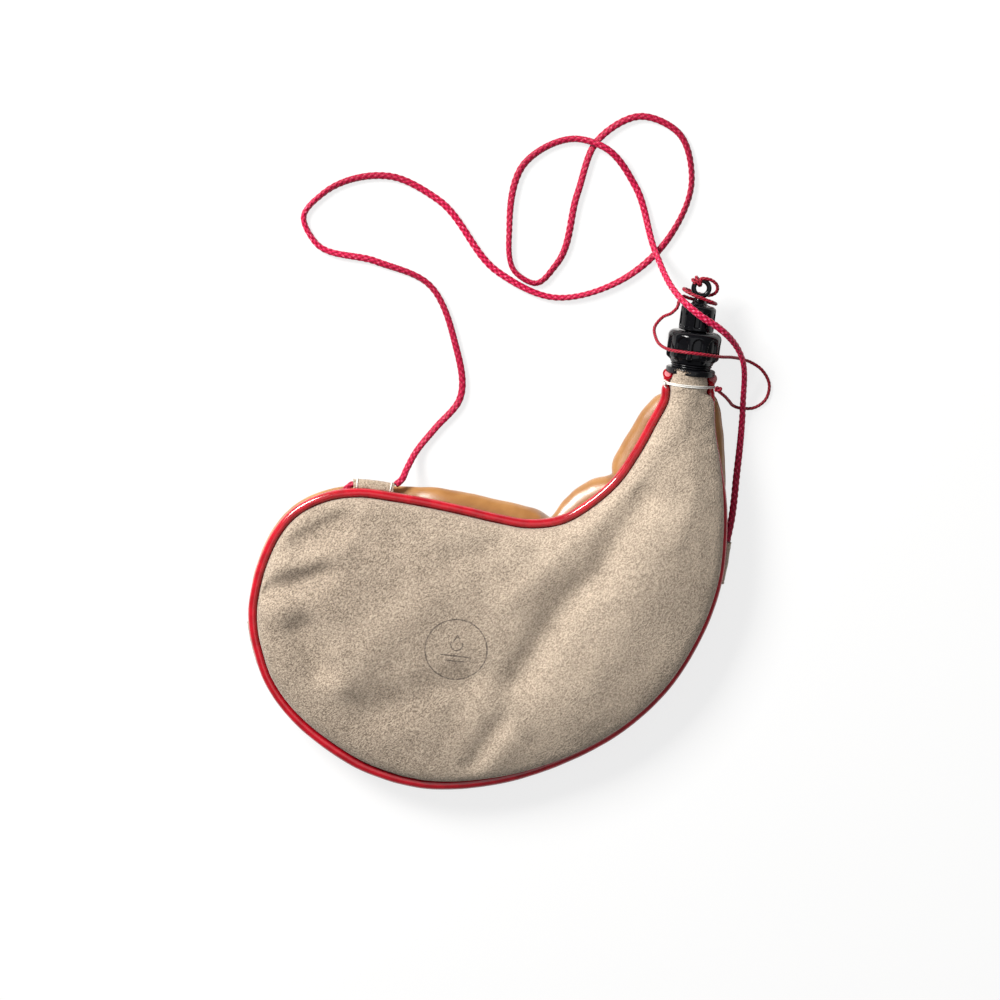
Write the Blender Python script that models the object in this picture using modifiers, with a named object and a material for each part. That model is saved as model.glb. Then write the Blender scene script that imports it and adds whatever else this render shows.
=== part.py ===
"""A leather bota bag of about one and a half litres, lying on its back.

Metres, +Z up. The spout points along +Y and the suede front looks up. The origin is on the table,
under the middle of the bag. Bag pieces are modelled in the neck's frame: X to the right, Y along the
spout, Z up from the seam, with zero on the spout's axis where the leather ends.
"""
import math

import bmesh
import bpy
from mathutils import Vector

MM = 0.001

# Driving sizes of the bag
SEAM_REACH = 221.0 * MM
SEAM_DROP = 245.0 * MM
SEAM_HEIGHT = 20.0 * MM
NECK_HALF_WIDTH = 12.3 * MM
NECK_LEATHER_END = 1.2 * MM
NECK_THREAD_DEPTH = 6.2 * MM
NECK_STRAIGHT = 8.6 * MM
NECK_SEAM_LIFT = 3.5 * MM
FRONT_DOME = 14.0 * MM
BACK_DEPTH = 20.8 * MM
LOBE_BULGE = 12.0 * MM
PANEL_THICKNESS = 1.4 * MM
BLADDER_THICKNESS = 0.7 * MM
FIT_GAP = 0.3 * MM
BLADDER_GAP = 0.6 * MM

# Driving sizes of the piping, the cords and the windings
BEAD_RADIUS = 2.3 * MM
FLANGE_THICKNESS = 1.0 * MM
FLANGE_WIDTH = 3.9 * MM
CORD_RADIUS = 1.8 * MM
TETHER_RADIUS = 0.9 * MM
THREAD_RADIUS = 0.5 * MM
THREAD_PITCH = 1.5 * MM
THREAD_TURNS = 2
TAB_THICKNESS = 0.9 * MM

# Driving sizes of the spout, whose heights are measured along its axis
COLLAR_BORE_RADIUS = 5.4 * MM
SHANK_RADIUS = 7.0 * MM
SHANK_LENGTH = 8.6 * MM
FLANGE_RADIUS = 13.5 * MM
FLANGE_HEIGHT = 3.4 * MM
COLLAR_TOP = 15.0 * MM
COLLAR_CORE_RADIUS = 8.9 * MM
COLLAR_THREAD_DEPTH = 0.8 * MM
COLLAR_THREAD_PITCH = 2.4 * MM
CAP_RADIUS = 14.6 * MM
CAP_BOTTOM = 5.2 * MM
CAP_TOP = 22.9 * MM
CAP_CEILING = 16.8 * MM
NOZZLE_TOP = 33.0 * MM
NOZZLE_CORE_RADIUS = 5.6 * MM
NOZZLE_BORE_RADIUS = 2.6 * MM
NOZZLE_JET_RADIUS = 1.1 * MM
NOZZLE_THREAD_DEPTH = 0.7 * MM
NOZZLE_THREAD_PITCH = 2.2 * MM
STOPPER_RADIUS = 9.6 * MM
STOPPER_BOTTOM = 23.4 * MM
STOPPER_SHOULDER = 37.2 * MM
STOPPER_CEILING = 34.6 * MM
STEM_RADIUS = 3.2 * MM
STEM_TOP = 41.8 * MM
RING_RADIUS = 4.2 * MM
RING_WIRE_RADIUS = 1.2 * MM
RING_HEIGHT = STEM_TOP + RING_RADIUS + RING_WIRE_RADIUS / 2
SEAL_THICKNESS = 1.0 * MM
SEAL_GAP = 0.4 * MM
THREAD_CLEARANCE = 0.45 * MM
FLUTE_DEPTH = 0.9 * MM
THREAD_ENGAGEMENT = 2

# Counts that set how finely the pieces are faceted
FLUTE_COUNT = 10
STEPS_PER_FLUTE = 3
TURN_STEPS = FLUTE_COUNT * STEPS_PER_FLUTE
ROWS_PER_PITCH = 4
STEPS_PER_LOOP = 24

# The seam line below the neck, as pairs of points on the inner and the outer curve.
# Each row holds x and y of the inner point, then x and y of the outer point.
# x is a share of SEAM_REACH and y a share of SEAM_DROP, both from the neck.
SEAM_SHARES = [
    (-0.056, -0.069, 0.076, -0.049),
    (-0.077, -0.121, 0.091, -0.120),
    (-0.105, -0.187, 0.107, -0.190),
    (-0.146, -0.260, 0.130, -0.274),
    (-0.205, -0.321, 0.142, -0.363),
    (-0.269, -0.364, 0.137, -0.465),
    (-0.347, -0.382, 0.108, -0.582),
    (-0.428, -0.379, 0.045, -0.709),
    (-0.511, -0.371, -0.055, -0.818),
    (-0.600, -0.364, -0.186, -0.904),
    (-0.688, -0.360, -0.340, -0.969),
    (-0.776, -0.360, -0.511, -1.001),
    (-0.854, -0.378, -0.664, -0.984),
    (-0.924, -0.418, -0.786, -0.936),
    (-0.968, -0.475, -0.880, -0.877),
    (-0.995, -0.551, -0.944, -0.811),
    (-1.005, -0.629, -0.982, -0.739),
]
FAR_END_SHARE = (-1.000, -0.684)

# Rib places along the seam rows, closer together at the two pinches and at the far end
RIBS = [0, 0.5, 1, 1.5, 2, 2.6, 3.3, 4, 4.4, 4.85, 5.3, 6, 6.7, 7.2, 7.7, 8.5, 9.5, 11, 12,
        13, 14, 15, 16, 17, 17.7, 18.3, 18.7]

# How each size follows the rows from the neck to the far end, as (row, share) pairs
FRONT_DOME_SHARES = [(0, 0.60), (1, 0.60), (2, 0.66), (4, 0.82), (6, 0.95), (8, 1.0), (14, 1.0),
                     (16, 0.92), (17, 0.80), (18, 0.58), (18.7, 0.34), (19, 0.0)]
BACK_DEPTH_SHARES = [(0, 0.59), (1, 0.58), (2, 0.66), (3, 0.80), (4, 0.93), (5, 1.0), (16, 1.0),
                     (17, 0.96), (18, 0.74), (18.7, 0.42), (19, 0.05)]
INNER_BULGE_SHARES = [(0, -0.08), (1.2, -0.08), (2, 0.50), (3, 0.75), (4, 0.80), (4.4, 0.74),
                      (4.85, 0.46), (5.3, 0.84), (6, 1.0), (6.7, 0.80), (7.2, 0.36), (7.7, 0.74),
                      (8.5, 0.88), (10, 0.90), (11, 0.84), (12, 0.55), (13.3, 0.42), (15, 0.32),
                      (19, 0.28)]
OUTER_BULGE_SHARES = [(0, -0.08), (1.2, -0.08), (2, 0.45), (3, 0.35), (4, 0.28), (5, 0.10), (6, 0.0),
                      (8, 0.05), (10, 0.15), (12, 0.28), (19, 0.28)]
BEAD_SHARES = [(0, 0.75), (0.4, 0.62), (1.0, 0.62), (1.6, 0.9), (2, 1.0), (19, 1.0)]
NECK_ROUND_SHARES = [(0, 1.0), (2, 0.95), (6, 0.5), (19, 0.5)]
SEAM_LIFT_SHARES = [(0, 1.0), (1, 1.0), (3, 0.45), (5, 0.0), (19, 0.0)]

# The back drops straight down at its rim, and further where the cord is tucked under the piping
RIM_WALL = 1.2 * MM
CORD_WALL = 5.6 * MM
INNER_WALL_SHARES = [(0, 0.0), (10.6, 0.0), (11.6, 1.0), (19, 1.0)]
OUTER_WALL_SHARES = [(0, 0.0), (5, 0.0), (6, 1.0), (19, 1.0)]

# Where the cord lies round the seam, out from the seam line and down from it
CORD_TUCK_OUT = 0.3 * MM
CORD_TUCK_DOWN = 4.6 * MM
TAB_OUT = 3.6 * MM
TAB_DOWN = 4.9 * MM
TOP_TAB_OUT = 4.7 * MM
TOP_TAB_DOWN = 3.3 * MM
TAB_EASE_SHARE = 0.6

# Each loop's name, where it starts and ends along the whole seam, and its seat
TABS = [
    ("cord_tab_top", 12.0, 13.3, TOP_TAB_OUT, TOP_TAB_DOWN),
    ("cord_tab_left", 19.0, 20.5, TAB_OUT, TAB_DOWN),
    ("cord_tab_bottom", 24.7, 25.75, TAB_OUT, TAB_DOWN),
    ("cord_tab_right", 30.6, 31.9, TAB_OUT, TAB_DOWN),
]

# The free shoulder cord: x and y from the neck, z above the table
SHOULDER_CORD_ROUTE = [
    (-151.4, -83.5, 16.7), (-148.4, -83.0, 16.2), (-146.6, -78.5, 12.5), (-145.2, -70.0, 5.0),
    (-139.0, -60.7, 1.8), (-122.6, -33.5, 1.8), (-129.8, -0.8, 1.8), (-147.5, 28.5, 1.8),
    (-178.0, 37.6, 1.8), (-212.5, 44.0, 1.8), (-220.3, 57.0, 1.8), (-211.0, 71.2, 1.8),
    (-175.5, 84.8, 1.8), (-148.5, 75.5, 1.8), (-110.9, 40.2, 1.8), (-79.0, 30.1, 1.8),
    (-45.0, 42.8, 1.8), (-20.5, 70.0, 1.8), (-12.0, 104.0, 1.8), (-22.0, 127.5, 1.8),
    (-43.7, 134.3, 1.8), (-65.0, 119.5, 1.8), (-73.0, 88.5, 1.8), (-79.5, 48.5, 1.8),
    (-89.5, 36.6, 1.8), (-100.5, 40.5, 1.8), (-107.8, 66.0, 1.8), (-103.5, 101.5, 1.8),
    (-77.5, 117.8, 3.2), (-61.3, 115.0, 6.4), (-42.0, 96.0, 2.0), (-27.0, 62.6, 6.2),
    (-8.6, 40.8, 32.2), (1.5, 34.0, 34.7), (11.0, 28.0, 31.3), (26.4, 12.6, 18.2),
    (32.2, -15.8, 4.6), (34.1, -55.0, 2.5), (35.1, -80.0, 13.0), (35.05, -90.7, 15.1),
]
SHOULDER_CORD_STEP = 14.0 * MM

# The thin tether from the neck to the stopper: x and y from the neck, z above the table
TETHER_ROUTE = [
    (19.4, -9.0, 20.6), (22.6, -12.4, 17.5), (25.4, -14.8, 10.0), (27.6, -15.6, 3.0),
    (31.5, -15.8, 0.9), (37.5, -14.6, 0.9), (43.2, -10.0, 0.9), (44.6, -1.9, 0.9),
    (40.1, 5.9, 0.9), (34.0, 9.6, 2.6), (28.6, 10.7, 7.0), (22.5, 11.6, 17.0),
    (13.0, 11.9, 31.0), (4.3, 12.2, 35.9), (-5.6, 12.1, 35.2),
    (-14.2, 12.6, 28.2), (-20.3, 17.0, 16.0), (-21.5, 23.0, 9.5), (-18.6, 28.8, 11.0),
    (-13.9, 32.6, 16.5), (-11.1, 34.6, 19.3),
]
TETHER_STEP = 4.5 * MM

# The tether's hitch on the stopper: x across, y along the spout, z up from its axis
HITCH_ROUTE = [
    (-10.5, 36.0, -0.7), (-9.4, 37.9, -1.6), (-5.4, 38.9, -4.4), (0.0, 39.1, -5.5),
    (5.6, 39.3, -4.4), (8.9, 39.5, -0.6), (7.4, 40.0, 3.2), (2.0, 41.2, 5.3), (-4.4, 42.4, 4.7),
    (-8.7, 43.8, 1.6), (-8.4, 44.3, -2.2), (-4.4, 43.8, -5.0), (1.0, 43.2, -5.4),
    (6.0, 43.8, -4.0), (8.9, 46.0, -1.6), (8.4, 49.4, 1.0), (4.6, 52.2, 3.0), (0.4, 52.2, 4.2),
    (-0.6, 49.6, 4.0), (-0.4, 46.8, 1.8), (-0.2, 46.6, -1.8), (-1.0, 49.2, -3.8),
    (-2.2, 52.0, -3.4),
]
HITCH_POINT_COUNT = 52

LEATHER_SUEDE = (0.62, 0.50, 0.36, 1.0)
LEATHER_TAN = (0.62, 0.33, 0.09, 1.0)
LINER_AMBER = (0.75, 0.62, 0.35, 1.0)
PIPING_RED = (0.50, 0.010, 0.025, 1.0)
CORD_RED = (0.70, 0.020, 0.10, 1.0)
TETHER_RED = (0.35, 0.010, 0.040, 1.0)
THREAD_WHITE = (0.80, 0.78, 0.72, 1.0)
PLASTIC_BLACK = (0.012, 0.012, 0.014, 1.0)
RUBBER_GREY = (0.10, 0.10, 0.10, 1.0)


def share_at(table, place):
    """Read a (place, share) table at any place, straight between its rows."""
    if place <= table[0][0]:
        return table[0][1]
    for (a, low), (b, high) in zip(table, table[1:]):
        if place <= b:
            return low + (high - low) * (place - a) / (b - a)
    return table[-1][1]


def curve_at(points, place):
    """A smooth curve through the points, read at a place counted in points."""
    last = len(points) - 1
    index = min(max(int(place), 0), last - 1)
    t = place - index
    before = points[index - 1] if index > 0 else 2 * points[0] - points[1]
    after = points[index + 2] if index < last - 1 else 2 * points[last] - points[last - 1]
    a, b = points[index], points[index + 1]
    return 0.5 * (2 * a + (b - before) * t + (2 * before - 5 * a + 4 * b - after) * t * t
                  + (3 * a - before - 3 * b + after) * t * t * t)


def rounded_at(points, place):
    """A smooth curve through unevenly spaced points, read at a place counted in points."""
    last = len(points) - 1
    index = min(max(int(place), 0), last - 1)
    t = place - index
    a, b = points[index], points[index + 1]
    before = points[index - 1] if index > 0 else 2 * a - b
    after = points[index + 2] if index < last - 1 else 2 * b - a
    span, first, second = (b - a).length, (a - before).length, (after - b).length
    leave = b - a + span * ((a - before) / first - (b - before) / (first + span))
    arrive = b - a + span * ((after - b) / second - (after - a) / (span + second))
    return (a + leave * t + (3 * (b - a) - 2 * leave - arrive) * t * t
            + (leave + arrive - 2 * (b - a)) * t * t * t)


def spaced_points(points, count):
    """The same number of points, evenly spaced along the smooth curve through a route."""
    per_span = 16
    fine = [curve_at(points, i / per_span) for i in range((len(points) - 1) * per_span + 1)]
    travelled = [0.0]
    for a, b in zip(fine, fine[1:]):
        travelled.append(travelled[-1] + (b - a).length)
    result = []
    index = 0
    for i in range(count):
        target = travelled[-1] * i / (count - 1)
        while index < len(fine) - 2 and travelled[index + 1] < target:
            index += 1
        step = travelled[index + 1] - travelled[index]
        result.append(fine[index].lerp(fine[index + 1], (target - travelled[index]) / step))
    return result


def route_points(route, step):
    """Points along the smooth curve through a route, about a step apart in each of its spans."""
    result = []
    for i, (a, b) in enumerate(zip(route, route[1:])):
        parts = max(1, round((b - a).length / step))
        result += [rounded_at(route, i + k / parts) for k in range(parts)]
    return result + [route[-1]]


def seam_points():
    """The whole seam, from the left of the neck round the far end to the right of the neck."""
    inner = [Vector((-NECK_HALF_WIDTH, -NECK_LEATHER_END, 0)),
             Vector((-NECK_HALF_WIDTH, -NECK_STRAIGHT, 0))]
    outer = [Vector((NECK_HALF_WIDTH, -NECK_LEATHER_END, 0)),
             Vector((NECK_HALF_WIDTH, -NECK_STRAIGHT, 0))]
    for ax, ay, bx, by in SEAM_SHARES:
        inner.append(Vector((ax * SEAM_REACH, ay * SEAM_DROP, 0)))
        outer.append(Vector((bx * SEAM_REACH, by * SEAM_DROP, 0)))
    for row, point in enumerate(inner):
        point.z = NECK_SEAM_LIFT * share_at(SEAM_LIFT_SHARES, row)
    far_end = Vector((FAR_END_SHARE[0] * SEAM_REACH, FAR_END_SHARE[1] * SEAM_DROP, 0))
    return inner + [far_end] + outer[::-1]


SEAM = seam_points()
LAST_PLACE = len(SEAM) - 1
FAR_ROW = LAST_PLACE // 2


def row_of(place):
    """The row that a place along the whole seam lies on."""
    return place if place <= FAR_ROW else LAST_PLACE - place


def inward_at(place):
    """The flat direction that points from the seam into the bag."""
    step = 0.05
    along = curve_at(SEAM, min(place + step, LAST_PLACE)) - curve_at(SEAM, max(place - step, 0))
    return Vector((-along.y, along.x, 0)).normalized()


def bead_radius_at(place):
    return BEAD_RADIUS * share_at(BEAD_SHARES, row_of(place))


def rim_at(place):
    """A panel's outer edge, one gap inside the piping's bead."""
    return curve_at(SEAM, place) + inward_at(place) * (bead_radius_at(place) + FIT_GAP)


RIM_LIFT = FLANGE_THICKNESS / 2 + FIT_GAP
DOME_SPANS = 10
BACK_SPANS = 8


def far_taper(row):
    """One along the bag and zero at its far end."""
    return min(1.0, (FAR_ROW - row) / 1.5)


def front_section(row):
    """One rib of the front, from its inner rim over the dome to its outer rim."""
    ends = (rim_at(row), rim_at(LAST_PLACE - row))
    wall = RIM_WALL * far_taper(row)
    dome = FRONT_DOME * share_at(FRONT_DOME_SHARES, row)
    points = [ends[0] + Vector((0, 0, RIM_LIFT))]
    for j in range(DOME_SPANS + 1):
        angle = math.pi * j / DOME_SPANS
        point = ends[0].lerp(ends[1], (1 - math.cos(angle)) / 2)
        point.z += RIM_LIFT + wall + dome * math.sin(angle) ** 0.85
        points.append(point)
    points.append(ends[1] + Vector((0, 0, RIM_LIFT)))
    return points


def back_half_section(row, place, middle, bulge_shares, wall_shares):
    """Half a rib of the back, from its rim out over the bulge and down to the middle."""
    rim = rim_at(place)
    outward = -inward_at(place)
    inset = bead_radius_at(place) + FIT_GAP
    bulge = (LOBE_BULGE * share_at(bulge_shares, row) + inset) * far_taper(row)
    depth = BACK_DEPTH * share_at(BACK_DEPTH_SHARES, row)
    top = rim.z - RIM_LIFT
    drop = top + depth
    wall = RIM_WALL + (CORD_WALL - RIM_WALL) * share_at(wall_shares, row)
    wall = min(wall, drop / 2)
    roundness = share_at(NECK_ROUND_SHARES, row)
    points = [Vector((rim.x, rim.y, top))]
    for j in range(BACK_SPANS):
        s = j / BACK_SPANS
        angle = math.pi / 2 * s
        across = math.cos(angle) ** roundness
        point = middle.lerp(rim, across) + outward * (bulge * math.sin(math.pi * s ** 0.63))
        point.z = top - wall - (drop - wall) * math.sin(angle)
        points.append(point)
    return points, depth


def back_section(row):
    """One rib of the back, flattened where the bag rests on the table."""
    inner, outer = row, LAST_PLACE - row
    middle = (rim_at(inner) + rim_at(outer)) / 2
    left, depth = back_half_section(row, inner, middle, INNER_BULGE_SHARES, INNER_WALL_SHARES)
    right, depth = back_half_section(row, outer, middle, OUTER_BULGE_SHARES, OUTER_WALL_SHARES)
    points = left + [Vector((middle.x, middle.y, -depth))] + right[::-1]
    for point in points:
        point.z = max(point.z, -SEAM_HEIGHT)
    return points


def new_material(name, colour, roughness, metallic=0.0):
    material = bpy.data.materials.new(name)
    material.use_nodes = True
    shader = material.node_tree.nodes["Principled BSDF"]
    shader.inputs["Base Color"].default_value = colour
    shader.inputs["Roughness"].default_value = roughness
    shader.inputs["Metallic"].default_value = metallic
    material.diffuse_color = colour
    return material


def add_object(name, data, material, parent):
    """Put a mesh or a curve in the bag's collection with its own material."""
    data.materials.clear()
    data.materials.append(material)
    piece = bpy.data.objects.new(name, data)
    bag_collection.objects.link(piece)
    piece.parent = parent
    return piece


def mesh_from(name, points, faces, sharp_angle=math.radians(40)):
    mesh = bpy.data.meshes.new(name)
    mesh.from_pydata([tuple(p) for p in points], [], faces)
    mesh.update()
    mesh.shade_smooth()
    mesh.set_sharp_from_angle(angle=sharp_angle)
    return mesh


def loft_faces(ribs, length, closed, flip):
    """Quads between neighbouring ribs of one length, open or closed across."""
    faces = []
    for i in range(ribs - 1):
        for j in range(length if closed else length - 1):
            a, b = i * length + j, i * length + (j + 1) % length
            quad = (a, b, b + length, a + length)
            faces.append(quad[::-1] if flip else quad)
    return faces


def add_panel(name, sections, tip, thickness, material, flip):
    """An open lofted surface closed to a tip at its far end, thickened inwards."""
    length = len(sections[0])
    points = [p for section in sections for p in section] + [tip]
    faces = loft_faces(len(sections), length, False, flip)
    last = (len(sections) - 1) * length
    for j in range(length - 1):
        fan = (last + j, last + j + 1, len(points) - 1)
        faces.append(fan[::-1] if flip else fan)
    panel = add_object(name, mesh_from(name, points, faces), material, bag_frame)
    skin = panel.modifiers.new("thickness", 'SOLIDIFY')
    skin.thickness = thickness
    skin.offset = -1
    skin.use_even_offset = True
    skin.thickness_clamp = 1.0
    return panel


def add_front_panel():
    sections = [front_section(row) for row in RIBS]
    tip = rim_at(FAR_ROW) + Vector((0, 0, RIM_LIFT))
    material = new_material("suede", LEATHER_SUEDE, 0.95)
    add_panel("front_panel", sections, tip, PANEL_THICKNESS, material, True)


def add_back_panel():
    sections = [back_section(row) for row in RIBS]
    tip = rim_at(FAR_ROW) - Vector((0, 0, RIM_LIFT))
    material = new_material("tan_leather", LEATHER_TAN, 0.45)
    add_panel("back_panel", sections, tip, PANEL_THICKNESS, material, False)


# The liner's rings, as places along the seam
LINER_RIBS = [0.2, 0.95, 1.25, 1.6, 2, 2.6, 3.3, 4, 4.85, 5.6, 6.4, 7.2, 8, 9.5, 11, 12.5, 14,
              15.5, 16.6, 17.2]
LINER_SIDES = 16
LINER_INSET_SHARES = [(0, 0.9), (1.2, 0.9), (1.8, 1.4), (3, 2.2), (19, 2.2)]


def liner_section(row):
    """One ring of the liner, a clearance inside the front and the back."""
    start, end = rim_at(row), rim_at(LAST_PLACE - row)
    clearance = PANEL_THICKNESS + BLADDER_GAP
    slack = clearance + BLADDER_GAP
    inset = clearance * share_at(LINER_INSET_SHARES, row)
    left = start + inward_at(row) * inset
    right = end + inward_at(LAST_PLACE - row) * inset
    height = RIM_LIFT + RIM_WALL + FRONT_DOME * share_at(FRONT_DOME_SHARES, row) - slack
    depth = min(BACK_DEPTH * share_at(BACK_DEPTH_SHARES, row), SEAM_HEIGHT) - slack
    points = []
    for j in range(LINER_SIDES):
        angle = 2 * math.pi * j / LINER_SIDES
        point = left.lerp(right, (1 - math.cos(angle)) / 2)
        reach = height if math.sin(angle) > 0 else depth + point.z
        point.z += math.sin(angle) * reach
        points.append(point)
    return points


def add_bladder():
    """The liner that holds the drink: a pouch just inside both panels, open at the neck."""
    rings = [liner_section(row) for row in LINER_RIBS]
    points = [p for ring in rings for p in ring]
    faces = loft_faces(len(rings), LINER_SIDES, True, True)
    last = (len(rings) - 1) * LINER_SIDES
    end = sum((points[last + j] for j in range(LINER_SIDES)), Vector()) / LINER_SIDES
    points.append(end)
    for j in range(LINER_SIDES):
        faces.append((len(points) - 1, last + (j + 1) % LINER_SIDES, last + j))
    material = new_material("liner", LINER_AMBER, 0.3)
    liner = add_object("bladder", mesh_from("bladder", points, faces), material, bag_frame)
    skin = liner.modifiers.new("thickness", 'SOLIDIFY')
    skin.thickness = BLADDER_THICKNESS
    skin.offset = -1
    skin.use_even_offset = True
    skin.thickness_clamp = 1.0


PIPING_START_SHARE = 0.45
PIPING_RING_COUNT = 64
BEAD_SIDES = 8


def add_piping():
    """A round bead round the whole seam, with the flat flange that is sewn between the panels."""
    points = []
    for i in range(PIPING_RING_COUNT):
        place = PIPING_START_SHARE + (LAST_PLACE - 2 * PIPING_START_SHARE) * i / (PIPING_RING_COUNT - 1)
        centre = curve_at(SEAM, place)
        inward = inward_at(place)
        radius = bead_radius_at(place)
        half = FLANGE_THICKNESS / 2
        opening = math.asin(half / radius)
        for j in range(BEAD_SIDES):
            angle = opening + (2 * math.pi - 2 * opening) * j / (BEAD_SIDES - 1)
            points.append(centre + inward * (radius * math.cos(angle))
                          + Vector((0, 0, radius * math.sin(angle))))
        for side in (-half, half):
            points.append(centre + inward * (FLANGE_WIDTH - BEAD_RADIUS + radius)
                          + Vector((0, 0, side)))
    length = BEAD_SIDES + 2
    faces = loft_faces(PIPING_RING_COUNT, length, True, False)
    last = (PIPING_RING_COUNT - 1) * length
    faces.append(tuple(range(length - 1, -1, -1)))
    faces.append(tuple(range(last, last + length)))
    add_object("piping", mesh_from("piping", points, faces),
               new_material("red_piping", PIPING_RED, 0.15), bag_frame)


def add_tube(name, points, radius, material, parent, resolution=2):
    """A round tube with filled ends along a list of points."""
    curve = bpy.data.curves.new(name, 'CURVE')
    curve.dimensions = '3D'
    curve.bevel_depth = radius
    curve.bevel_resolution = resolution
    curve.use_fill_caps = True
    spline = curve.splines.new('POLY')
    spline.points.add(len(points) - 1)
    for target, point in zip(spline.points, points):
        target.co = (point.x, point.y, point.z, 1)
    spline.use_smooth = True
    return add_object(name, curve, material, parent)


def cord_seat(place):
    """How far out and how far down the cord lies at a place along the seam."""
    out, down = CORD_TUCK_OUT, CORD_TUCK_DOWN
    for name, start, end, tab_out, tab_down in TABS:
        away = max(start - place, place - end, 0) / TAB_EASE_SHARE
        if away < 1:
            hold = (1 + math.cos(math.pi * away)) / 2
            out += (tab_out - CORD_TUCK_OUT) * hold
            down += (tab_down - CORD_TUCK_DOWN) * hold
    return out, down


def held_cord_at(place):
    out, down = cord_seat(place)
    return curve_at(SEAM, place) - inward_at(place) * out - Vector((0, 0, down))


HELD_CORD_POINT_COUNT = 80
TAB_RING_COUNT = 6
TAB_SIDE_COUNT = 8
CORD_TAB_GAP = 0.45 * MM


def add_held_cord(material):
    """The shoulder cord where it runs through its loops, under the piping."""
    start, end = TABS[0][1], TABS[-1][2]
    fine = [held_cord_at(start + (end - start) * i / 400) for i in range(401)]
    add_tube("shoulder_cord_held", spaced_points(fine, HELD_CORD_POINT_COUNT), CORD_RADIUS, material,
             bag_frame)


def add_tabs():
    """Suede loops sewn into the seam, round the cord."""
    bore = CORD_RADIUS + CORD_TAB_GAP
    for name, start, end, out, down in TABS:
        points = []
        for i in range(TAB_RING_COUNT):
            place = start + (end - start) * i / (TAB_RING_COUNT - 1)
            centre = held_cord_at(place)
            inward = inward_at(place)
            for j in range(TAB_SIDE_COUNT):
                angle = 2 * math.pi * (j + 0.5) / TAB_SIDE_COUNT
                reach = (bore + TAB_THICKNESS) / math.cos(math.pi / TAB_SIDE_COUNT)
                points.append(centre + inward * (reach * math.cos(angle))
                              + Vector((0, 0, reach * math.sin(angle))))
        faces = loft_faces(TAB_RING_COUNT, TAB_SIDE_COUNT, True, False)
        tab = add_object(name, mesh_from(name, points, faces),
                         new_material(name + "_suede", LEATHER_SUEDE, 0.95), bag_frame)
        skin = tab.modifiers.new("thickness", 'SOLIDIFY')
        skin.thickness = TAB_THICKNESS
        skin.offset = -1
        skin.use_even_offset = True


def above_table(route, radius):
    """A route in the neck's frame, kept a radius above the table."""
    points = [Vector((x * MM, y * MM, z * MM)) for x, y, z in route]
    for point in points:
        point.z = max(point.z, radius)
    return points


def add_free_cord(name, route, step, radius, material):
    points = route_points(above_table(route, radius), step)
    for point in points:
        point.z = max(point.z, radius) - SEAM_HEIGHT
    length = sum((b - a).length for a, b in zip(points, points[1:]))
    print(name, "length", round(length / MM, 1), "mm")
    add_tube(name, points, radius, material, bag_frame)


def least_gap(points, radius, skip):
    """The least gap of a wound tube to its own other turns."""
    least = min((a - b).length for i, a in enumerate(points) for b in points[i + skip:])
    return least - 2 * radius


BINDING_HALF_WIDTH = 14.9 * MM
BINDING_HALF_HEIGHT = 14.2 * MM
BINDING_LIFT = 1.0 * MM


def add_neck_binding():
    """Waxed thread wound round the neck, over the leather and the flattened piping."""
    turns = THREAD_TURNS
    steps = turns * STEPS_PER_LOOP
    points = []
    for i in range(steps + 1):
        angle = math.radians(200) - 2 * math.pi * turns * i / steps
        height = -NECK_THREAD_DEPTH + THREAD_PITCH * (i / STEPS_PER_LOOP - turns / 2)
        points.append(Vector((BINDING_HALF_WIDTH * math.cos(angle), height,
                              BINDING_LIFT + BINDING_HALF_HEIGHT * math.sin(angle))))
    lead = (points[0] - points[1]).normalized() * 2 * THREAD_RADIUS
    tail = (points[-1] - points[-2]).normalized() * 2 * THREAD_RADIUS
    points = [points[0] + lead] + points + [points[-1] + tail]
    print("neck_binding least gap", round(least_gap(points, THREAD_RADIUS, 12) / MM, 2), "mm")
    material = new_material("waxed_thread", THREAD_WHITE, 0.6)
    add_tube("neck_binding", points, THREAD_RADIUS, material, bag_frame, 1)


def add_hitch(material):
    """The tether's hitch: round the stem and through the stopper's ring."""
    route = [Vector((x * MM, y * MM, z * MM)) for x, y, z in HITCH_ROUTE]
    points = spaced_points(route, HITCH_POINT_COUNT)
    print("tether_hitch least gap", round(least_gap(points, TETHER_RADIUS, 6) / MM, 2), "mm")
    add_tube("tether_hitch", points, TETHER_RADIUS, material, bag_frame, 1)


KNOT_RADIUS = 1.5 * MM
KNOT_X = 17.5 * MM
KNOT_Y = -7.3 * MM
KNOT_Z = 2.4 * MM


def add_tether_knot(material):
    """The tether's stopper knot, tucked between the neck's right seam and the back."""
    mesh = bpy.data.meshes.new("tether_knot")
    shape = bmesh.new()
    bmesh.ops.create_uvsphere(shape, u_segments=10, v_segments=7, radius=KNOT_RADIUS)
    shape.to_mesh(mesh)
    shape.free()
    mesh.shade_smooth()
    knot = add_object("tether_knot", mesh, material, bag_frame)
    knot.location = (KNOT_X, KNOT_Y, KNOT_Z)


def thread_ridge(angle, height, pitch):
    """A right-hand thread: zero at its root and one on its crest."""
    phase = (height / pitch - angle / (2 * math.pi)) % 1.0
    return 1 - abs(2 * phase - 1)


def thread_rows(bottom, pitch, turns):
    """Heights through a thread, top to bottom."""
    rows = turns * ROWS_PER_PITCH
    return [bottom + pitch * turns * (rows - i) / rows for i in range(rows + 1)]


def thread_fade(height, bottom, pitch, turns):
    """Zero at both ends of a thread and one along it."""
    end = min(height - bottom, bottom + pitch * turns - height)
    return min(max(end / (pitch / 2), 0.0), 1.0)


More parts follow.
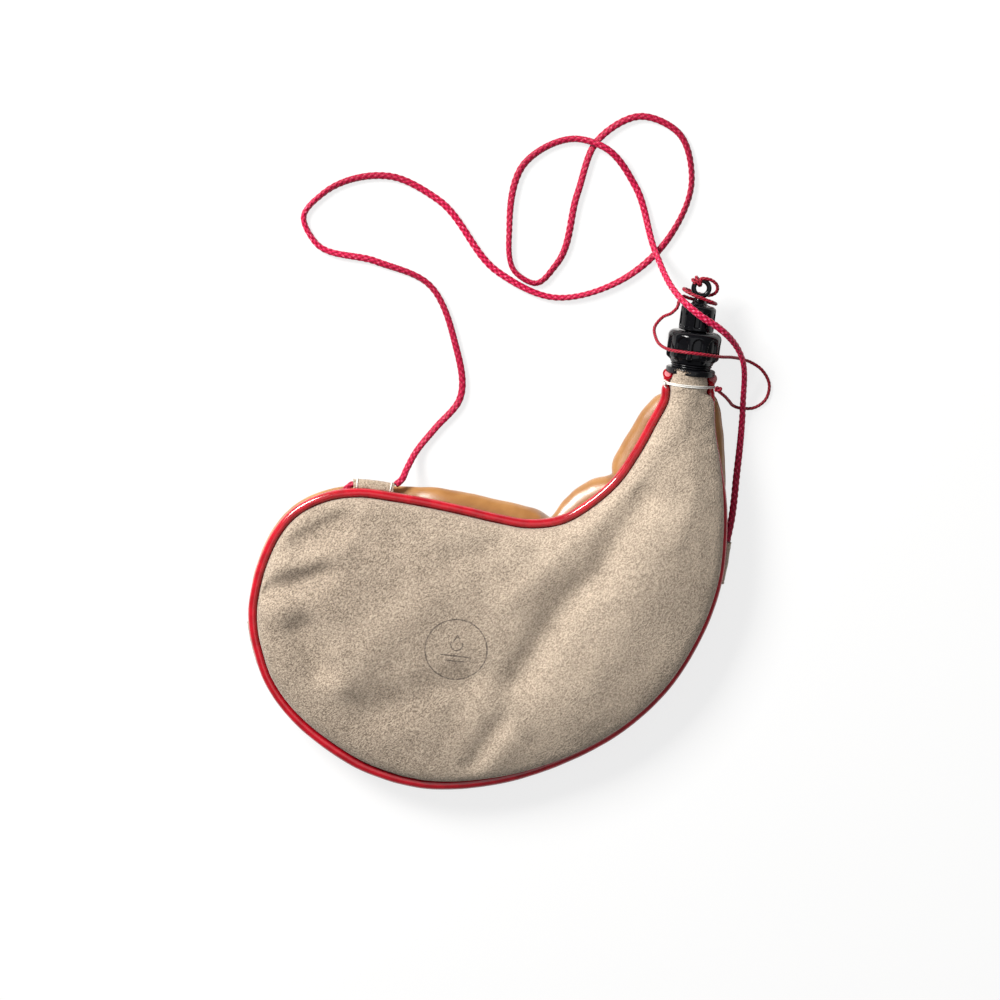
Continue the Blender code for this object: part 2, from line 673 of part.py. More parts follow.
def turned_mesh(name, profile, shape_radius):
    """A turned piece whose radius a function may change, all from one profile."""
    half = bpy.data.meshes.new(name + "_profile")
    closed = profile[0][0] > 0
    edges = [(i, i + 1) for i in range(len(profile) - 1)]
    if closed:
        edges.append((len(profile) - 1, 0))
    half.from_pydata([(r, 0, h) for r, h in profile], edges, [])
    turned = bpy.data.objects.new(name + "_profile", half)
    bag_collection.objects.link(turned)
    screw = turned.modifiers.new("turn", 'SCREW')
    screw.steps = TURN_STEPS
    screw.render_steps = TURN_STEPS
    screw.use_merge_vertices = True
    screw.merge_threshold = 0.00001
    graph = bpy.context.evaluated_depsgraph_get()
    mesh = bpy.data.meshes.new_from_object(turned.evaluated_get(graph))
    bpy.data.objects.remove(turned)
    for vertex in mesh.vertices:
        x, y, height = vertex.co
        radius = math.hypot(x, y)
        if radius > 0:
            scale = shape_radius(math.atan2(y, x), height, radius) / radius
            vertex.co = (x * scale, y * scale, height)
    mesh.shade_smooth()
    mesh.set_sharp_from_angle(angle=math.radians(35))
    mesh.name = name
    return mesh


def in_flute(angle):
    """True on the two of every three steps that lie in a flute."""
    step = round(angle / (2 * math.pi / TURN_STEPS))
    return step % STEPS_PER_FLUTE != 0


COLLAR_THREAD_BOTTOM = 8.4 * MM
COLLAR_RING_RADIUS = 11.3 * MM
COLLAR_RING_HEIGHT = 4.5 * MM
COLLAR_GROOVE_RADIUS = 10.4 * MM
COLLAR_GROOVE_HEIGHT = 3.3 * MM
EDGE = 0.5 * MM
COLLAR_MOUTH_RADIUS = COLLAR_CORE_RADIUS + COLLAR_THREAD_DEPTH + THREAD_CLEARANCE
NOZZLE_MOUTH_RADIUS = NOZZLE_CORE_RADIUS + NOZZLE_THREAD_DEPTH + THREAD_CLEARANCE
NOZZLE_THREAD_BOTTOM = 26.0 * MM


def add_collar(material):
    """The spout's base: shank in the neck, flange, ring and outer thread round one bore."""
    flange_bottom = -NECK_LEATHER_END + SEAL_GAP
    flange_top = flange_bottom + FLANGE_HEIGHT
    shank_end = flange_bottom - SHANK_LENGTH
    profile = [(COLLAR_CORE_RADIUS - EDGE, COLLAR_TOP), (COLLAR_CORE_RADIUS, COLLAR_TOP - EDGE)]
    profile += [(COLLAR_CORE_RADIUS, h) for h in
                thread_rows(COLLAR_THREAD_BOTTOM, COLLAR_THREAD_PITCH, THREAD_ENGAGEMENT)]
    profile += [
        (COLLAR_CORE_RADIUS, COLLAR_RING_HEIGHT + EDGE),
        (COLLAR_RING_RADIUS, COLLAR_RING_HEIGHT),
        (COLLAR_RING_RADIUS, COLLAR_GROOVE_HEIGHT + EDGE),
        (COLLAR_GROOVE_RADIUS, COLLAR_GROOVE_HEIGHT),
        (COLLAR_GROOVE_RADIUS, flange_top),
        (FLANGE_RADIUS - EDGE, flange_top),
        (FLANGE_RADIUS, flange_top - EDGE),
        (FLANGE_RADIUS, flange_bottom + EDGE),
        (FLANGE_RADIUS - EDGE, flange_bottom),
        (SHANK_RADIUS, flange_bottom),
        (SHANK_RADIUS, shank_end + EDGE),
        (SHANK_RADIUS - EDGE, shank_end),
        (COLLAR_BORE_RADIUS, shank_end),
        (COLLAR_BORE_RADIUS, COLLAR_TOP),
    ]

    def radius_at(angle, height, radius):
        if abs(radius - COLLAR_CORE_RADIUS) > EDGE / 10:
            return radius
        fade = thread_fade(height, COLLAR_THREAD_BOTTOM, COLLAR_THREAD_PITCH, THREAD_ENGAGEMENT)
        ridge = thread_ridge(angle, height, COLLAR_THREAD_PITCH)
        return radius + COLLAR_THREAD_DEPTH * ridge * fade

    mesh = turned_mesh("spout_collar", profile, radius_at)
    add_object("spout_collar", mesh, material, spout_axis)


CAP_FLUTE_BOTTOM = 10.0 * MM
CAP_FLUTE_TOP = 19.4 * MM
CAP_SKIRT_RADIUS = 11.7 * MM
CAP_SKIRT_TOP = 8.8 * MM
CAP_SHOULDER = 2.1 * MM
FLUTE_END = 0.9 * MM
NOZZLE_TIP = 0.8 * MM
JET_LENGTH = 1.6 * MM


def add_nozzle_cap(material):
    """The big fluted cap: inner thread below, threaded drinking nozzle on top."""
    profile = [(NOZZLE_CORE_RADIUS - NOZZLE_TIP, NOZZLE_TOP),
               (NOZZLE_CORE_RADIUS, NOZZLE_TOP - NOZZLE_TIP)]
    profile += [(NOZZLE_CORE_RADIUS, h) for h in
                thread_rows(NOZZLE_THREAD_BOTTOM, NOZZLE_THREAD_PITCH, THREAD_ENGAGEMENT)]
    profile += [
        (NOZZLE_CORE_RADIUS, CAP_TOP),
        (CAP_RADIUS - 1.4 * CAP_SHOULDER, CAP_TOP),
        (CAP_RADIUS - 0.5 * CAP_SHOULDER, CAP_TOP - 0.4 * CAP_SHOULDER),
        (CAP_RADIUS - 0.1 * CAP_SHOULDER, CAP_TOP - 1.1 * CAP_SHOULDER),
        (CAP_RADIUS, CAP_FLUTE_TOP),
        (CAP_RADIUS, CAP_FLUTE_TOP - FLUTE_END),
        (CAP_RADIUS, CAP_FLUTE_BOTTOM + FLUTE_END),
        (CAP_RADIUS, CAP_FLUTE_BOTTOM),
        (CAP_RADIUS - EDGE, CAP_SKIRT_TOP),
        (CAP_SKIRT_RADIUS, CAP_BOTTOM + EDGE),
        (CAP_SKIRT_RADIUS - EDGE, CAP_BOTTOM),
        (COLLAR_MOUTH_RADIUS, CAP_BOTTOM),
    ]
    profile += [(COLLAR_MOUTH_RADIUS, h) for h in
                thread_rows(COLLAR_THREAD_BOTTOM, COLLAR_THREAD_PITCH, THREAD_ENGAGEMENT)[::-1]]
    profile += [
        (COLLAR_MOUTH_RADIUS, CAP_CEILING),
        (NOZZLE_BORE_RADIUS, CAP_CEILING),
        (NOZZLE_BORE_RADIUS, NOZZLE_TOP - 2 * JET_LENGTH),
        (NOZZLE_JET_RADIUS, NOZZLE_TOP - JET_LENGTH),
        (NOZZLE_JET_RADIUS, NOZZLE_TOP),
    ]

    def radius_at(angle, height, radius):
        if abs(radius - NOZZLE_CORE_RADIUS) < EDGE / 10:
            fade = thread_fade(height, NOZZLE_THREAD_BOTTOM, NOZZLE_THREAD_PITCH,
                               THREAD_ENGAGEMENT)
            return radius + NOZZLE_THREAD_DEPTH * fade * thread_ridge(angle, height,
                                                                     NOZZLE_THREAD_PITCH)
        if abs(radius - COLLAR_MOUTH_RADIUS) < EDGE / 10:
            fade = thread_fade(height, COLLAR_THREAD_BOTTOM, COLLAR_THREAD_PITCH,
                               THREAD_ENGAGEMENT)
            return radius - COLLAR_THREAD_DEPTH * fade * (1 - thread_ridge(angle, height,
                                                                          COLLAR_THREAD_PITCH))
        low, high = CAP_FLUTE_BOTTOM + FLUTE_END / 2, CAP_FLUTE_TOP - FLUTE_END / 2
        if radius > CAP_SKIRT_RADIUS and low < height < high and in_flute(angle):
            return radius - FLUTE_DEPTH
        return radius

    mesh = turned_mesh("nozzle_cap", profile, radius_at)
    add_object("nozzle_cap", mesh, material, spout_axis)


STOPPER_FLUTE_BOTTOM = 26.0 * MM
STOPPER_FLUTE_TOP = 34.0 * MM
STOPPER_SHOULDER_RADIUS = 5.5 * MM
STOPPER_SHOULDER_DROP = 1.6 * MM
RING_SEGMENTS = 18
RING_SIDES = 8


def add_stopper(material):
    """The small fluted cap, its stem and the ring that the tether is tied through."""
    profile = [
        (0, STEM_TOP),
        (STEM_RADIUS - EDGE, STEM_TOP),
        (STEM_RADIUS, STEM_TOP - EDGE),
        (STEM_RADIUS, STEM_TOP - 4 * EDGE),
        (STEM_RADIUS + 2 * EDGE, STOPPER_SHOULDER + 2 * EDGE),
        (STOPPER_SHOULDER_RADIUS, STOPPER_SHOULDER),
        (STOPPER_RADIUS - 3 * EDGE, STOPPER_SHOULDER - EDGE),
        (STOPPER_RADIUS - EDGE, STOPPER_SHOULDER - STOPPER_SHOULDER_DROP),
        (STOPPER_RADIUS, STOPPER_FLUTE_TOP),
        (STOPPER_RADIUS, STOPPER_FLUTE_TOP - FLUTE_END),
        (STOPPER_RADIUS, STOPPER_FLUTE_BOTTOM + FLUTE_END),
        (STOPPER_RADIUS, STOPPER_FLUTE_BOTTOM),
        (STOPPER_RADIUS - EDGE, STOPPER_BOTTOM + EDGE),
        (STOPPER_RADIUS - 2 * EDGE, STOPPER_BOTTOM),
        (NOZZLE_MOUTH_RADIUS, STOPPER_BOTTOM),
    ]
    profile += [(NOZZLE_MOUTH_RADIUS, h) for h in
                thread_rows(NOZZLE_THREAD_BOTTOM, NOZZLE_THREAD_PITCH, THREAD_ENGAGEMENT)[::-1]]
    profile += [(NOZZLE_MOUTH_RADIUS, STOPPER_CEILING), (0, STOPPER_CEILING)]

    def radius_at(angle, height, radius):
        if abs(radius - NOZZLE_MOUTH_RADIUS) < EDGE / 10:
            fade = thread_fade(height, NOZZLE_THREAD_BOTTOM, NOZZLE_THREAD_PITCH,
                               THREAD_ENGAGEMENT)
            return radius - NOZZLE_THREAD_DEPTH * fade * (1 - thread_ridge(angle, height,
                                                                          NOZZLE_THREAD_PITCH))
        low, high = STOPPER_FLUTE_BOTTOM + FLUTE_END / 2, STOPPER_FLUTE_TOP - FLUTE_END / 2
        if abs(radius - STOPPER_RADIUS) < EDGE / 10 and low < height < high and in_flute(angle):
            return radius - FLUTE_DEPTH
        return radius

    mesh = turned_mesh("stopper", profile, radius_at)
    stopper = add_object("stopper", mesh, material, spout_axis)
    bpy.ops.mesh.primitive_torus_add(major_radius=RING_RADIUS, minor_radius=RING_WIRE_RADIUS,
                                     major_segments=RING_SEGMENTS, minor_segments=RING_SIDES,
                                     rotation=(math.pi / 2, 0, 0))
    ring = bpy.context.active_object
    ring.name = "stopper_ring_cutter"
    for collection in list(ring.users_collection):
        collection.objects.unlink(ring)
    cutter_collection.objects.link(ring)
    ring.parent = spout_axis
    ring.location = (0, 0, RING_HEIGHT)
    ring.hide_render = True
    ring.display_type = 'WIRE'
    union = stopper.modifiers.new("ring", 'BOOLEAN')
    union.operation = 'UNION'
    union.solver = 'EXACT'
    union.object = ring


def add_seal(name, bottom, outer_radius, inner_radius, material):
    """A flat rubber seal, a washer where it has an inner radius."""
    top = bottom + SEAL_THICKNESS
    if inner_radius > 0:
        profile = [(outer_radius, top), (outer_radius, bottom),
                   (inner_radius, bottom), (inner_radius, top)]
    else:
        profile = [(0, top), (outer_radius, top), (outer_radius, bottom), (0, bottom)]
    mesh = turned_mesh(name, profile, lambda angle, height, radius: radius)
    add_object(name, mesh, material, spout_axis)


for leftover in list(bpy.data.objects):
    bpy.data.objects.remove(leftover, do_unlink=True)

bag_collection = bpy.data.collections.new("leather_bota_bag")
cutter_collection = bpy.data.collections.new("bota_bag_cutters")
bpy.context.scene.collection.children.link(bag_collection)
bpy.context.scene.collection.children.link(cutter_collection)

# The neck's place over the table, so that the bag's middle is over the origin
left_edge = min(a[0] for a in SEAM_SHARES) * SEAM_REACH - TAB_OUT - CORD_RADIUS - TAB_THICKNESS
right_edge = max(a[2] for a in SEAM_SHARES) * SEAM_REACH + TAB_OUT + CORD_RADIUS + TAB_THICKNESS
low_edge = -SEAM_DROP - TAB_OUT - CORD_RADIUS - TAB_THICKNESS
high_edge = RING_HEIGHT + RING_RADIUS + RING_WIRE_RADIUS + 2 * TETHER_RADIUS

bag_frame = bpy.data.objects.new("bag_frame", None)
bag_collection.objects.link(bag_frame)
bag_frame.location = (-(left_edge + right_edge) / 2, -(low_edge + high_edge) / 2, SEAM_HEIGHT)

spout_axis = bpy.data.objects.new("spout_axis", None)
bag_collection.objects.link(spout_axis)
spout_axis.parent = bag_frame
spout_axis.rotation_euler = (-math.pi / 2, 0, 0)

add_front_panel()
add_back_panel()
add_bladder()
add_piping()
add_tabs()
add_neck_binding()

cord_material = new_material("braided_cord", CORD_RED, 0.6)
held_material = new_material("braided_cord_held", CORD_RED, 0.6)
tether_material = new_material("tether_cord", TETHER_RED, 0.55)
hitch_material = new_material("tether_hitch_cord", TETHER_RED, 0.55)
knot_material = new_material("tether_knot_cord", TETHER_RED, 0.55)
add_held_cord(held_material)
add_free_cord("shoulder_cord", SHOULDER_CORD_ROUTE, SHOULDER_CORD_STEP, CORD_RADIUS,
              cord_material)
add_free_cord("tether", TETHER_ROUTE, TETHER_STEP, TETHER_RADIUS, tether_material)
add_hitch(hitch_material)
add_tether_knot(knot_material)

add_collar(new_material("collar_plastic", PLASTIC_BLACK, 0.3))
add_nozzle_cap(new_material("cap_plastic", PLASTIC_BLACK, 0.3))
add_stopper(new_material("stopper_plastic", PLASTIC_BLACK, 0.3))
add_seal("nozzle_washer", COLLAR_TOP + SEAL_GAP, COLLAR_MOUTH_RADIUS - COLLAR_THREAD_DEPTH,
         COLLAR_BORE_RADIUS + EDGE, new_material("washer_rubber", RUBBER_GREY, 0.8))
add_seal("stopper_seal", NOZZLE_TOP + FIT_GAP, NOZZLE_MOUTH_RADIUS - NOZZLE_THREAD_DEPTH, 0,
         new_material("seal_rubber", RUBBER_GREY, 0.8))
print("neck frame at", [round(v / MM, 3) for v in bag_frame.location], "mm")
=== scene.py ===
import math

import bmesh
import bpy
from mathutils import Matrix, Vector, noise
from mathutils.bvhtree import BVHTree


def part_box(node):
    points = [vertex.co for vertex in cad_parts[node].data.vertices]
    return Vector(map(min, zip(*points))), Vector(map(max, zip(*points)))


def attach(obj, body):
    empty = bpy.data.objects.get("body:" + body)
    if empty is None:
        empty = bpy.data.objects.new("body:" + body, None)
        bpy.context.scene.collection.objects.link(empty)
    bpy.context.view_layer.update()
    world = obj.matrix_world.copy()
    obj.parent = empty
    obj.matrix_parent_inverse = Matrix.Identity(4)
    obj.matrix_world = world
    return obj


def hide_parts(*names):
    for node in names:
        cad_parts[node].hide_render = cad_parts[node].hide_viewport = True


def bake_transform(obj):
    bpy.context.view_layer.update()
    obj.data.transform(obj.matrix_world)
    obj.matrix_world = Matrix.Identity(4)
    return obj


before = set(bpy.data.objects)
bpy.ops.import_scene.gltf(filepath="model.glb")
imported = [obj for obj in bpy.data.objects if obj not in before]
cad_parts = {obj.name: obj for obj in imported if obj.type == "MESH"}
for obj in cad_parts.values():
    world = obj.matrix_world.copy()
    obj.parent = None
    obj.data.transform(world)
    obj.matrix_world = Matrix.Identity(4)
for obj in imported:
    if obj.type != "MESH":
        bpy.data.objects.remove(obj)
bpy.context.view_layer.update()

MM = 0.001

# The neck's place: the spout's axis, where the leather ends. Points below are in its frame:
# x to the right, y along the spout, z up from the seam.
COLLAR_TOP = 15.0 * MM
collar_low, collar_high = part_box("spout_collar")
NECK = Vector(((collar_low.x + collar_high.x) / 2, collar_high.y - COLLAR_TOP,
               (collar_low.z + collar_high.z) / 2))
TABLE = -NECK.z

# Sizes of the bag
SEAM_REACH = 221.0 * MM
SEAM_DROP = 245.0 * MM
NECK_HALF_WIDTH = 12.3 * MM
NECK_LEATHER_END = 1.2 * MM
NECK_STRAIGHT = 8.6 * MM
NECK_THREAD_DEPTH = 6.2 * MM
NECK_SEAM_LIFT = 3.5 * MM
FRONT_DOME = 14.0 * MM
BACK_DEPTH = 20.8 * MM
LOBE_BULGE = 12.0 * MM
PANEL_THICKNESS = 1.4 * MM
LINER_THICKNESS = 0.7 * MM
BEAD_RADIUS = 2.5 * MM
FLANGE_THICKNESS = 1.0 * MM
FLANGE_WIDTH = 3.9 * MM
FIT_GAP = 0.15 * MM
RIM_WALL = 1.2 * MM
CORD_WALL = 5.6 * MM
RIM_LIFT = FLANGE_THICKNESS / 2 + FIT_GAP

# The seam below the neck: x and y of the inner point, then x and y of the outer point,
# as shares of SEAM_REACH and SEAM_DROP
SEAM_SHARES = [
    (-0.056, -0.069, 0.076, -0.049), (-0.077, -0.121, 0.091, -0.120),
    (-0.105, -0.187, 0.107, -0.190), (-0.146, -0.260, 0.130, -0.274),
    (-0.205, -0.321, 0.142, -0.363), (-0.269, -0.364, 0.137, -0.465),
    (-0.347, -0.382, 0.108, -0.582), (-0.428, -0.379, 0.045, -0.709),
    (-0.511, -0.371, -0.055, -0.818), (-0.600, -0.364, -0.186, -0.904),
    (-0.688, -0.360, -0.340, -0.969), (-0.776, -0.360, -0.511, -1.001),
    (-0.854, -0.378, -0.664, -0.984), (-0.924, -0.418, -0.786, -0.936),
    (-0.968, -0.475, -0.880, -0.877), (-0.995, -0.551, -0.944, -0.811),
    (-1.005, -0.629, -0.982, -0.739),
]
FAR_END_SHARE = (-1.000, -0.684)

# How the sizes follow the rows from the neck to the far end, as (row, share) pairs
FRONT_DOME_SHARES = [(0, 0.60), (1, 0.60), (2, 0.66), (4, 0.82), (6, 0.95), (8, 1.0), (14, 1.0),
                     (16, 0.92), (17, 0.80), (18, 0.58), (18.7, 0.34), (19, 0.0)]
BACK_DEPTH_SHARES = [(0, 0.59), (1, 0.58), (2, 0.66), (3, 0.80), (4, 0.93), (5, 1.0), (16, 1.0),
                     (17, 0.96), (18, 0.74), (18.7, 0.42), (19, 0.05)]
INNER_BULGE_SHARES = [(0, -0.08), (1.2, -0.08), (2, 0.50), (3, 0.75), (4, 0.82), (4.7, 0.76),
                      (5.12, 0.40), (5.5, 0.84), (6.2, 1.0), (6.9, 0.80), (7.42, 0.22), (7.9, 0.72),
                      (8.7, 0.88), (10, 0.93), (11, 0.90), (12, 0.62), (13.3, 0.44), (15, 0.38),
                      (17, 0.30), (19, 0.26)]
OUTER_BULGE_SHARES = [(0, -0.08), (1.2, -0.08), (2, 0.40), (2.5, 0.60), (3.3, 0.67), (4, 0.55),
                      (4.5, 0.43), (5, 0.26), (5.6, 0.14), (6.5, 0.0), (8, 0.0), (10, 0.15), (12, 0.28),
                      (19, 0.26)]
BEAD_SHARES = [(0, 1.15), (0.2, 1.05), (0.5, 0.72), (0.9, 0.66), (1.12, 0.95), (2, 1.0), (19, 1.0)]
# The bead swells along the bag's lower edge, counted in places from the left of the neck
LOWER_BEAD_SHARES = [(0, 1.0), (21, 1.0), (23.5, 1.2), (26.5, 1.25), (28.5, 1.1), (30, 1.0)]
NECK_ROUND_SHARES = [(0, 1.0), (2, 0.95), (6, 0.5), (19, 0.5)]
SEAM_LIFT_SHARES = [(0, 1.0), (1, 1.0), (3, 0.45), (5, 0.0), (19, 0.0)]
INNER_WALL_SHARES = [(0, 0.0), (10.6, 0.0), (11.6, 1.0), (19, 1.0)]
OUTER_WALL_SHARES = [(0, 0.0), (5, 0.0), (6, 1.0), (19, 1.0)]

# On the outer side the seam is rolled in, and the suede hangs over the piping
ROLL_IN = 4.5 * MM
ROLL_IN_SHARES = [(0, 0.0), (1, 0.0), (2, 0.93), (3, 1.0), (4, 0.64), (5, 0.47), (6, 0.36), (7, 0.04),
                  (8, 0.0), (19, 0.0)]
OVERHANG = 4.6 * MM
OVERHANG_SHARES = [(0, 0.0), (1.2, 0.0), (2, 1.0), (3.3, 1.0), (4, 0.95), (4.5, 0.85), (5, 0.67),
                   (6, 0.61), (8, 0.57), (11, 0.57), (12, 0.35), (13, 0.17), (14, 0.06), (15, 0.0),
                   (19, 0.0)]

# The cord round the seam and its four loops: name, start, end, out from the seam, down from it
CORD_RADIUS = 1.8 * MM
CORD_TUCK_OUT = 0.3 * MM
CORD_TUCK_DOWN = 4.6 * MM
TAB_EASE_SHARE = 0.4
TABS = [
    ("cord_tab_top", 12.06, 13.17, 4.3 * MM, 3.4 * MM),
    ("cord_tab_left", 19.0, 20.5, 0.6 * MM, 5.3 * MM),
    ("cord_tab_bottom", 24.7, 25.75, 0.6 * MM, 5.3 * MM),
    ("cord_tab_right", 31.0, 31.9, 0.9 * MM, 5.2 * MM),
]

# The free shoulder cord: x and y from the neck, z above the table
SHOULDER_CORD_ROUTE = [
    (-152.2, -81.8, 16.8), (-149.6, -79.2, 15.2), (-147.4, -73.5, 10.0), (-143.6, -64.4, 3.6),
    (-134.6, -50.0, 1.8), (-123.2, -32.5, 1.8), (-129.8, -0.8, 1.8), (-147.5, 28.5, 1.8),
    (-178.0, 37.6, 1.8), (-212.5, 44.0, 1.8), (-220.3, 57.0, 1.8), (-211.0, 71.2, 1.8),
    (-175.5, 84.8, 1.8), (-148.5, 75.5, 1.8), (-110.9, 40.2, 1.8), (-79.0, 30.1, 1.8),
    (-45.0, 42.8, 1.8), (-20.5, 70.0, 1.8), (-12.0, 104.0, 1.8), (-22.0, 127.5, 1.8),
    (-43.7, 134.3, 1.8), (-65.0, 119.5, 1.8), (-73.0, 88.5, 1.8), (-79.5, 48.5, 1.8),
    (-89.5, 36.6, 1.8), (-100.5, 40.5, 1.8), (-107.8, 66.0, 1.8), (-103.5, 101.5, 1.8),
    (-77.5, 117.8, 3.2), (-61.3, 115.0, 6.4), (-42.0, 96.0, 2.0), (-27.0, 62.6, 6.2),
    (-9.0, 38.8, 32.2), (1.1, 32.4, 34.8), (11.5, 27.2, 32.4), (26.8, 12.0, 18.2),
    (32.2, -15.8, 4.6), (34.1, -55.0, 2.5), (33.7, -80.0, 12.6), (32.7, -90.7, 14.9),
]
# Painted light and shade along the cord: how bright its yarn is painted along its way, as it lies face up or
# turned on its edge
CORD_PAINTED_LIGHT_SHARES = [(0, 0.40), (0.06, 0.35), (0.13, 0.20), (0.16, 0.45), (0.19, 0.85), (0.206, 0.8),
                     (0.225, 0.2), (0.26, 0.15), (0.287, 0.75), (0.337, 0.9), (0.37, 0.6),
                     (0.404, 0.5), (0.44, 0.3), (0.5, 0.2), (0.576, 0.35), (0.64, 0.4), (0.70, 0.2),
                     (0.747, 0.45), (0.774, 0.7), (0.81, 0.85), (0.85, 1.0), (0.895, 1.0),
                     (0.95, 0.75), (0.975, 0.4), (1.0, 0.2)]

# The thin tether from the neck to the stopper: x and y from the neck, z above the table
TETHER_RADIUS = 1.0 * MM
TETHER_ROUTE = [
    (17.2, -8.4, 21.8), (20.0, -10.2, 20.0), (23.6, -13.4, 15.0), (26.4, -16.2, 7.5),
    (31.5, -17.9, 1.0), (38.3, -17.0, 1.0), (44.4, -11.6, 1.0), (45.4, -3.0, 1.0),
    (40.2, 4.6, 1.0), (33.4, 8.2, 2.6), (28.0, 9.6, 7.0), (22.2, 10.9, 17.0),
    (13.0, 11.6, 31.0), (4.3, 12.2, 35.9), (-5.6, 12.1, 35.2),
    (-14.4, 12.0, 28.2), (-20.7, 15.8, 16.0), (-21.9, 21.6, 9.5), (-18.6, 27.4, 12.0),
    (-14.0, 31.0, 17.0), (-11.8, 34.0, 19.2),
]

# The tether's hitch on the stopper: x across, y along the spout, z up from its axis.
# The tether's own end lies inside its first millimetres, so that no gap opens as the stopper rises.
HITCH_ROUTE = [
    (-11.3, 35.9, -0.7), (-11.1, 38.2, -0.9), (-9.6, 40.6, -2.0), (-5.4, 40.0, -4.4),
    (0.0, 39.3, -5.5), (5.6, 39.0, -4.4), (8.9, 38.9, -0.6), (7.4, 39.8, 3.2), (2.0, 41.2, 5.3),
    (-4.4, 42.8, 4.7), (-9.3, 44.7, 1.6), (-9.0, 45.0, -2.2), (-4.4, 43.8, -5.0), (1.0, 42.8, -5.4),
    (6.0, 43.2, -4.0), (8.6, 45.8, -1.6), (8.2, 49.2, 0.8), (5.0, 51.6, 2.2), (1.6, 52.2, 2.8),
]
TETHER_TAIL = 4.6 * MM
# Its two last wraps wind over the ring's top left: how far from the wire's middle, and from where to where
WRAP_REACH = 2.4 * MM
WRAP_START, WRAP_END = math.radians(106), math.radians(148)
WRAP_TURN = math.radians(740)
WRAP_STEPS = 20


def share_at(table, place):
    """Read a (place, share) table at any place, straight between its rows."""
    if place <= table[0][0]:
        return table[0][1]
    for (a, low), (b, high) in zip(table, table[1:]):
        if place <= b:
            return low + (high - low) * (place - a) / (b - a)
    return table[-1][1]


def eased_share(table, place, reach=0.24):
    """A share averaged over a short reach, so that the leather has no kinks."""
    steps = (-1.0, -0.5, 0.0, 0.5, 1.0)
    return sum(share_at(table, place + reach * step) for step in steps) / len(steps)


def curve_at(points, place):
    """A smooth curve through the points, read at a place counted in points."""
    last = len(points) - 1
    index = min(max(int(place), 0), last - 1)
    t = place - index
    before = points[index - 1] if index > 0 else 2 * points[0] - points[1]
    after = points[index + 2] if index < last - 1 else 2 * points[last] - points[last - 1]
    a, b = points[index], points[index + 1]
    return 0.5 * (2 * a + (b - before) * t + (2 * before - 5 * a + 4 * b - after) * t * t
                  + (3 * a - before - 3 * b + after) * t * t * t)


def rounded_at(points, place):
    """A smooth curve through unevenly spaced points, read at a place counted in points."""
    last = len(points) - 1
    index = min(max(int(place), 0), last - 1)
    t = place - index
    a, b = points[index], points[index + 1]
    before = points[index - 1] if index > 0 else 2 * a - b
    after = points[index + 2] if index < last - 1 else 2 * b - a
    span, first, second = (b - a).length, (a - before).length, (after - b).length
    leave = b - a + span * ((a - before) / first - (b - before) / (first + span))
    arrive = b - a + span * ((after - b) / second - (after - a) / (span + second))
    return (a + leave * t + (3 * (b - a) - 2 * leave - arrive) * t * t
            + (leave + arrive - 2 * (b - a)) * t * t * t)


def evenly_spaced(points, step):
    """Points about a step apart along the smooth curve through a route."""
    fine = [rounded_at(points, i / 16) for i in range((len(points) - 1) * 16 + 1)]
    travelled = [0.0]
    for a, b in zip(fine, fine[1:]):
        travelled.append(travelled[-1] + (b - a).length)
    count = max(2, round(travelled[-1] / step) + 1)
    result = []
    index = 0
    for i in range(count):
        target = travelled[-1] * i / (count - 1)
        while index < len(fine) - 2 and travelled[index + 1] < target:
            index += 1
        part = (target - travelled[index]) / (travelled[index + 1] - travelled[index])
        result.append(fine[index].lerp(fine[index + 1], part))
    return result


def seam_points():
    """The whole seam, from the left of the neck round the far end to the right of the neck."""
    inner = [Vector((-NECK_HALF_WIDTH, -NECK_LEATHER_END, 0)),
             Vector((-NECK_HALF_WIDTH, -NECK_STRAIGHT, 0))]
    outer = [Vector((NECK_HALF_WIDTH, -NECK_LEATHER_END, 0)),
             Vector((NECK_HALF_WIDTH, -NECK_STRAIGHT, 0))]
    for ax, ay, bx, by in SEAM_SHARES:
        inner.append(Vector((ax * SEAM_REACH, ay * SEAM_DROP, 0)))
        outer.append(Vector((bx * SEAM_REACH, by * SEAM_DROP, 0)))
    for row, point in enumerate(inner):
        point.z = NECK_SEAM_LIFT * share_at(SEAM_LIFT_SHARES, row)
    far_end = Vector((FAR_END_SHARE[0] * SEAM_REACH, FAR_END_SHARE[1] * SEAM_DROP, 0))
    return inner + [far_end] + outer[::-1]


FLAT_SEAM = seam_points()
LAST_PLACE = len(FLAT_SEAM) - 1
FAR_ROW = LAST_PLACE // 2


def row_of(place):
    return place if place <= FAR_ROW else LAST_PLACE - place


def inward_along(seam, place):
    """The flat direction that points from a seam into the bag."""
    step = 0.05
    along = curve_at(seam, min(place + step, LAST_PLACE)) - curve_at(seam, max(place - step, 0))
    return Vector((-along.y, along.x, 0)).normalized()


def rolled_seam():
    """The seam as it lies, rolled in on its outer side below the neck."""
    points = []
    for place, point in enumerate(FLAT_SEAM):
        roll = ROLL_IN * share_at(ROLL_IN_SHARES, row_of(place)) if place > FAR_ROW else 0.0
        points.append(point + inward_along(FLAT_SEAM, place) * roll)
    return points


SEAM = rolled_seam()


def inward_at(place):
    return inward_along(SEAM, place)


def bead_radius_at(place):
    swell = eased_share(LOWER_BEAD_SHARES, place, 0.8)
    return BEAD_RADIUS * eased_share(BEAD_SHARES, row_of(place), 0.12) * swell


def rim_at(place):
    """A panel's outer edge, one gap inside the piping's bead."""
    return curve_at(SEAM, place) + inward_at(place) * (bead_radius_at(place) + FIT_GAP)


def far_taper(row):
    """One along the bag and zero at its far end."""
    return min(1.0, (FAR_ROW - row) / 1.5)


def eased(value):
    """A smooth step from zero to one."""
    value = min(max(value, 0.0), 1.0)
    return value * value * (3 - 2 * value)


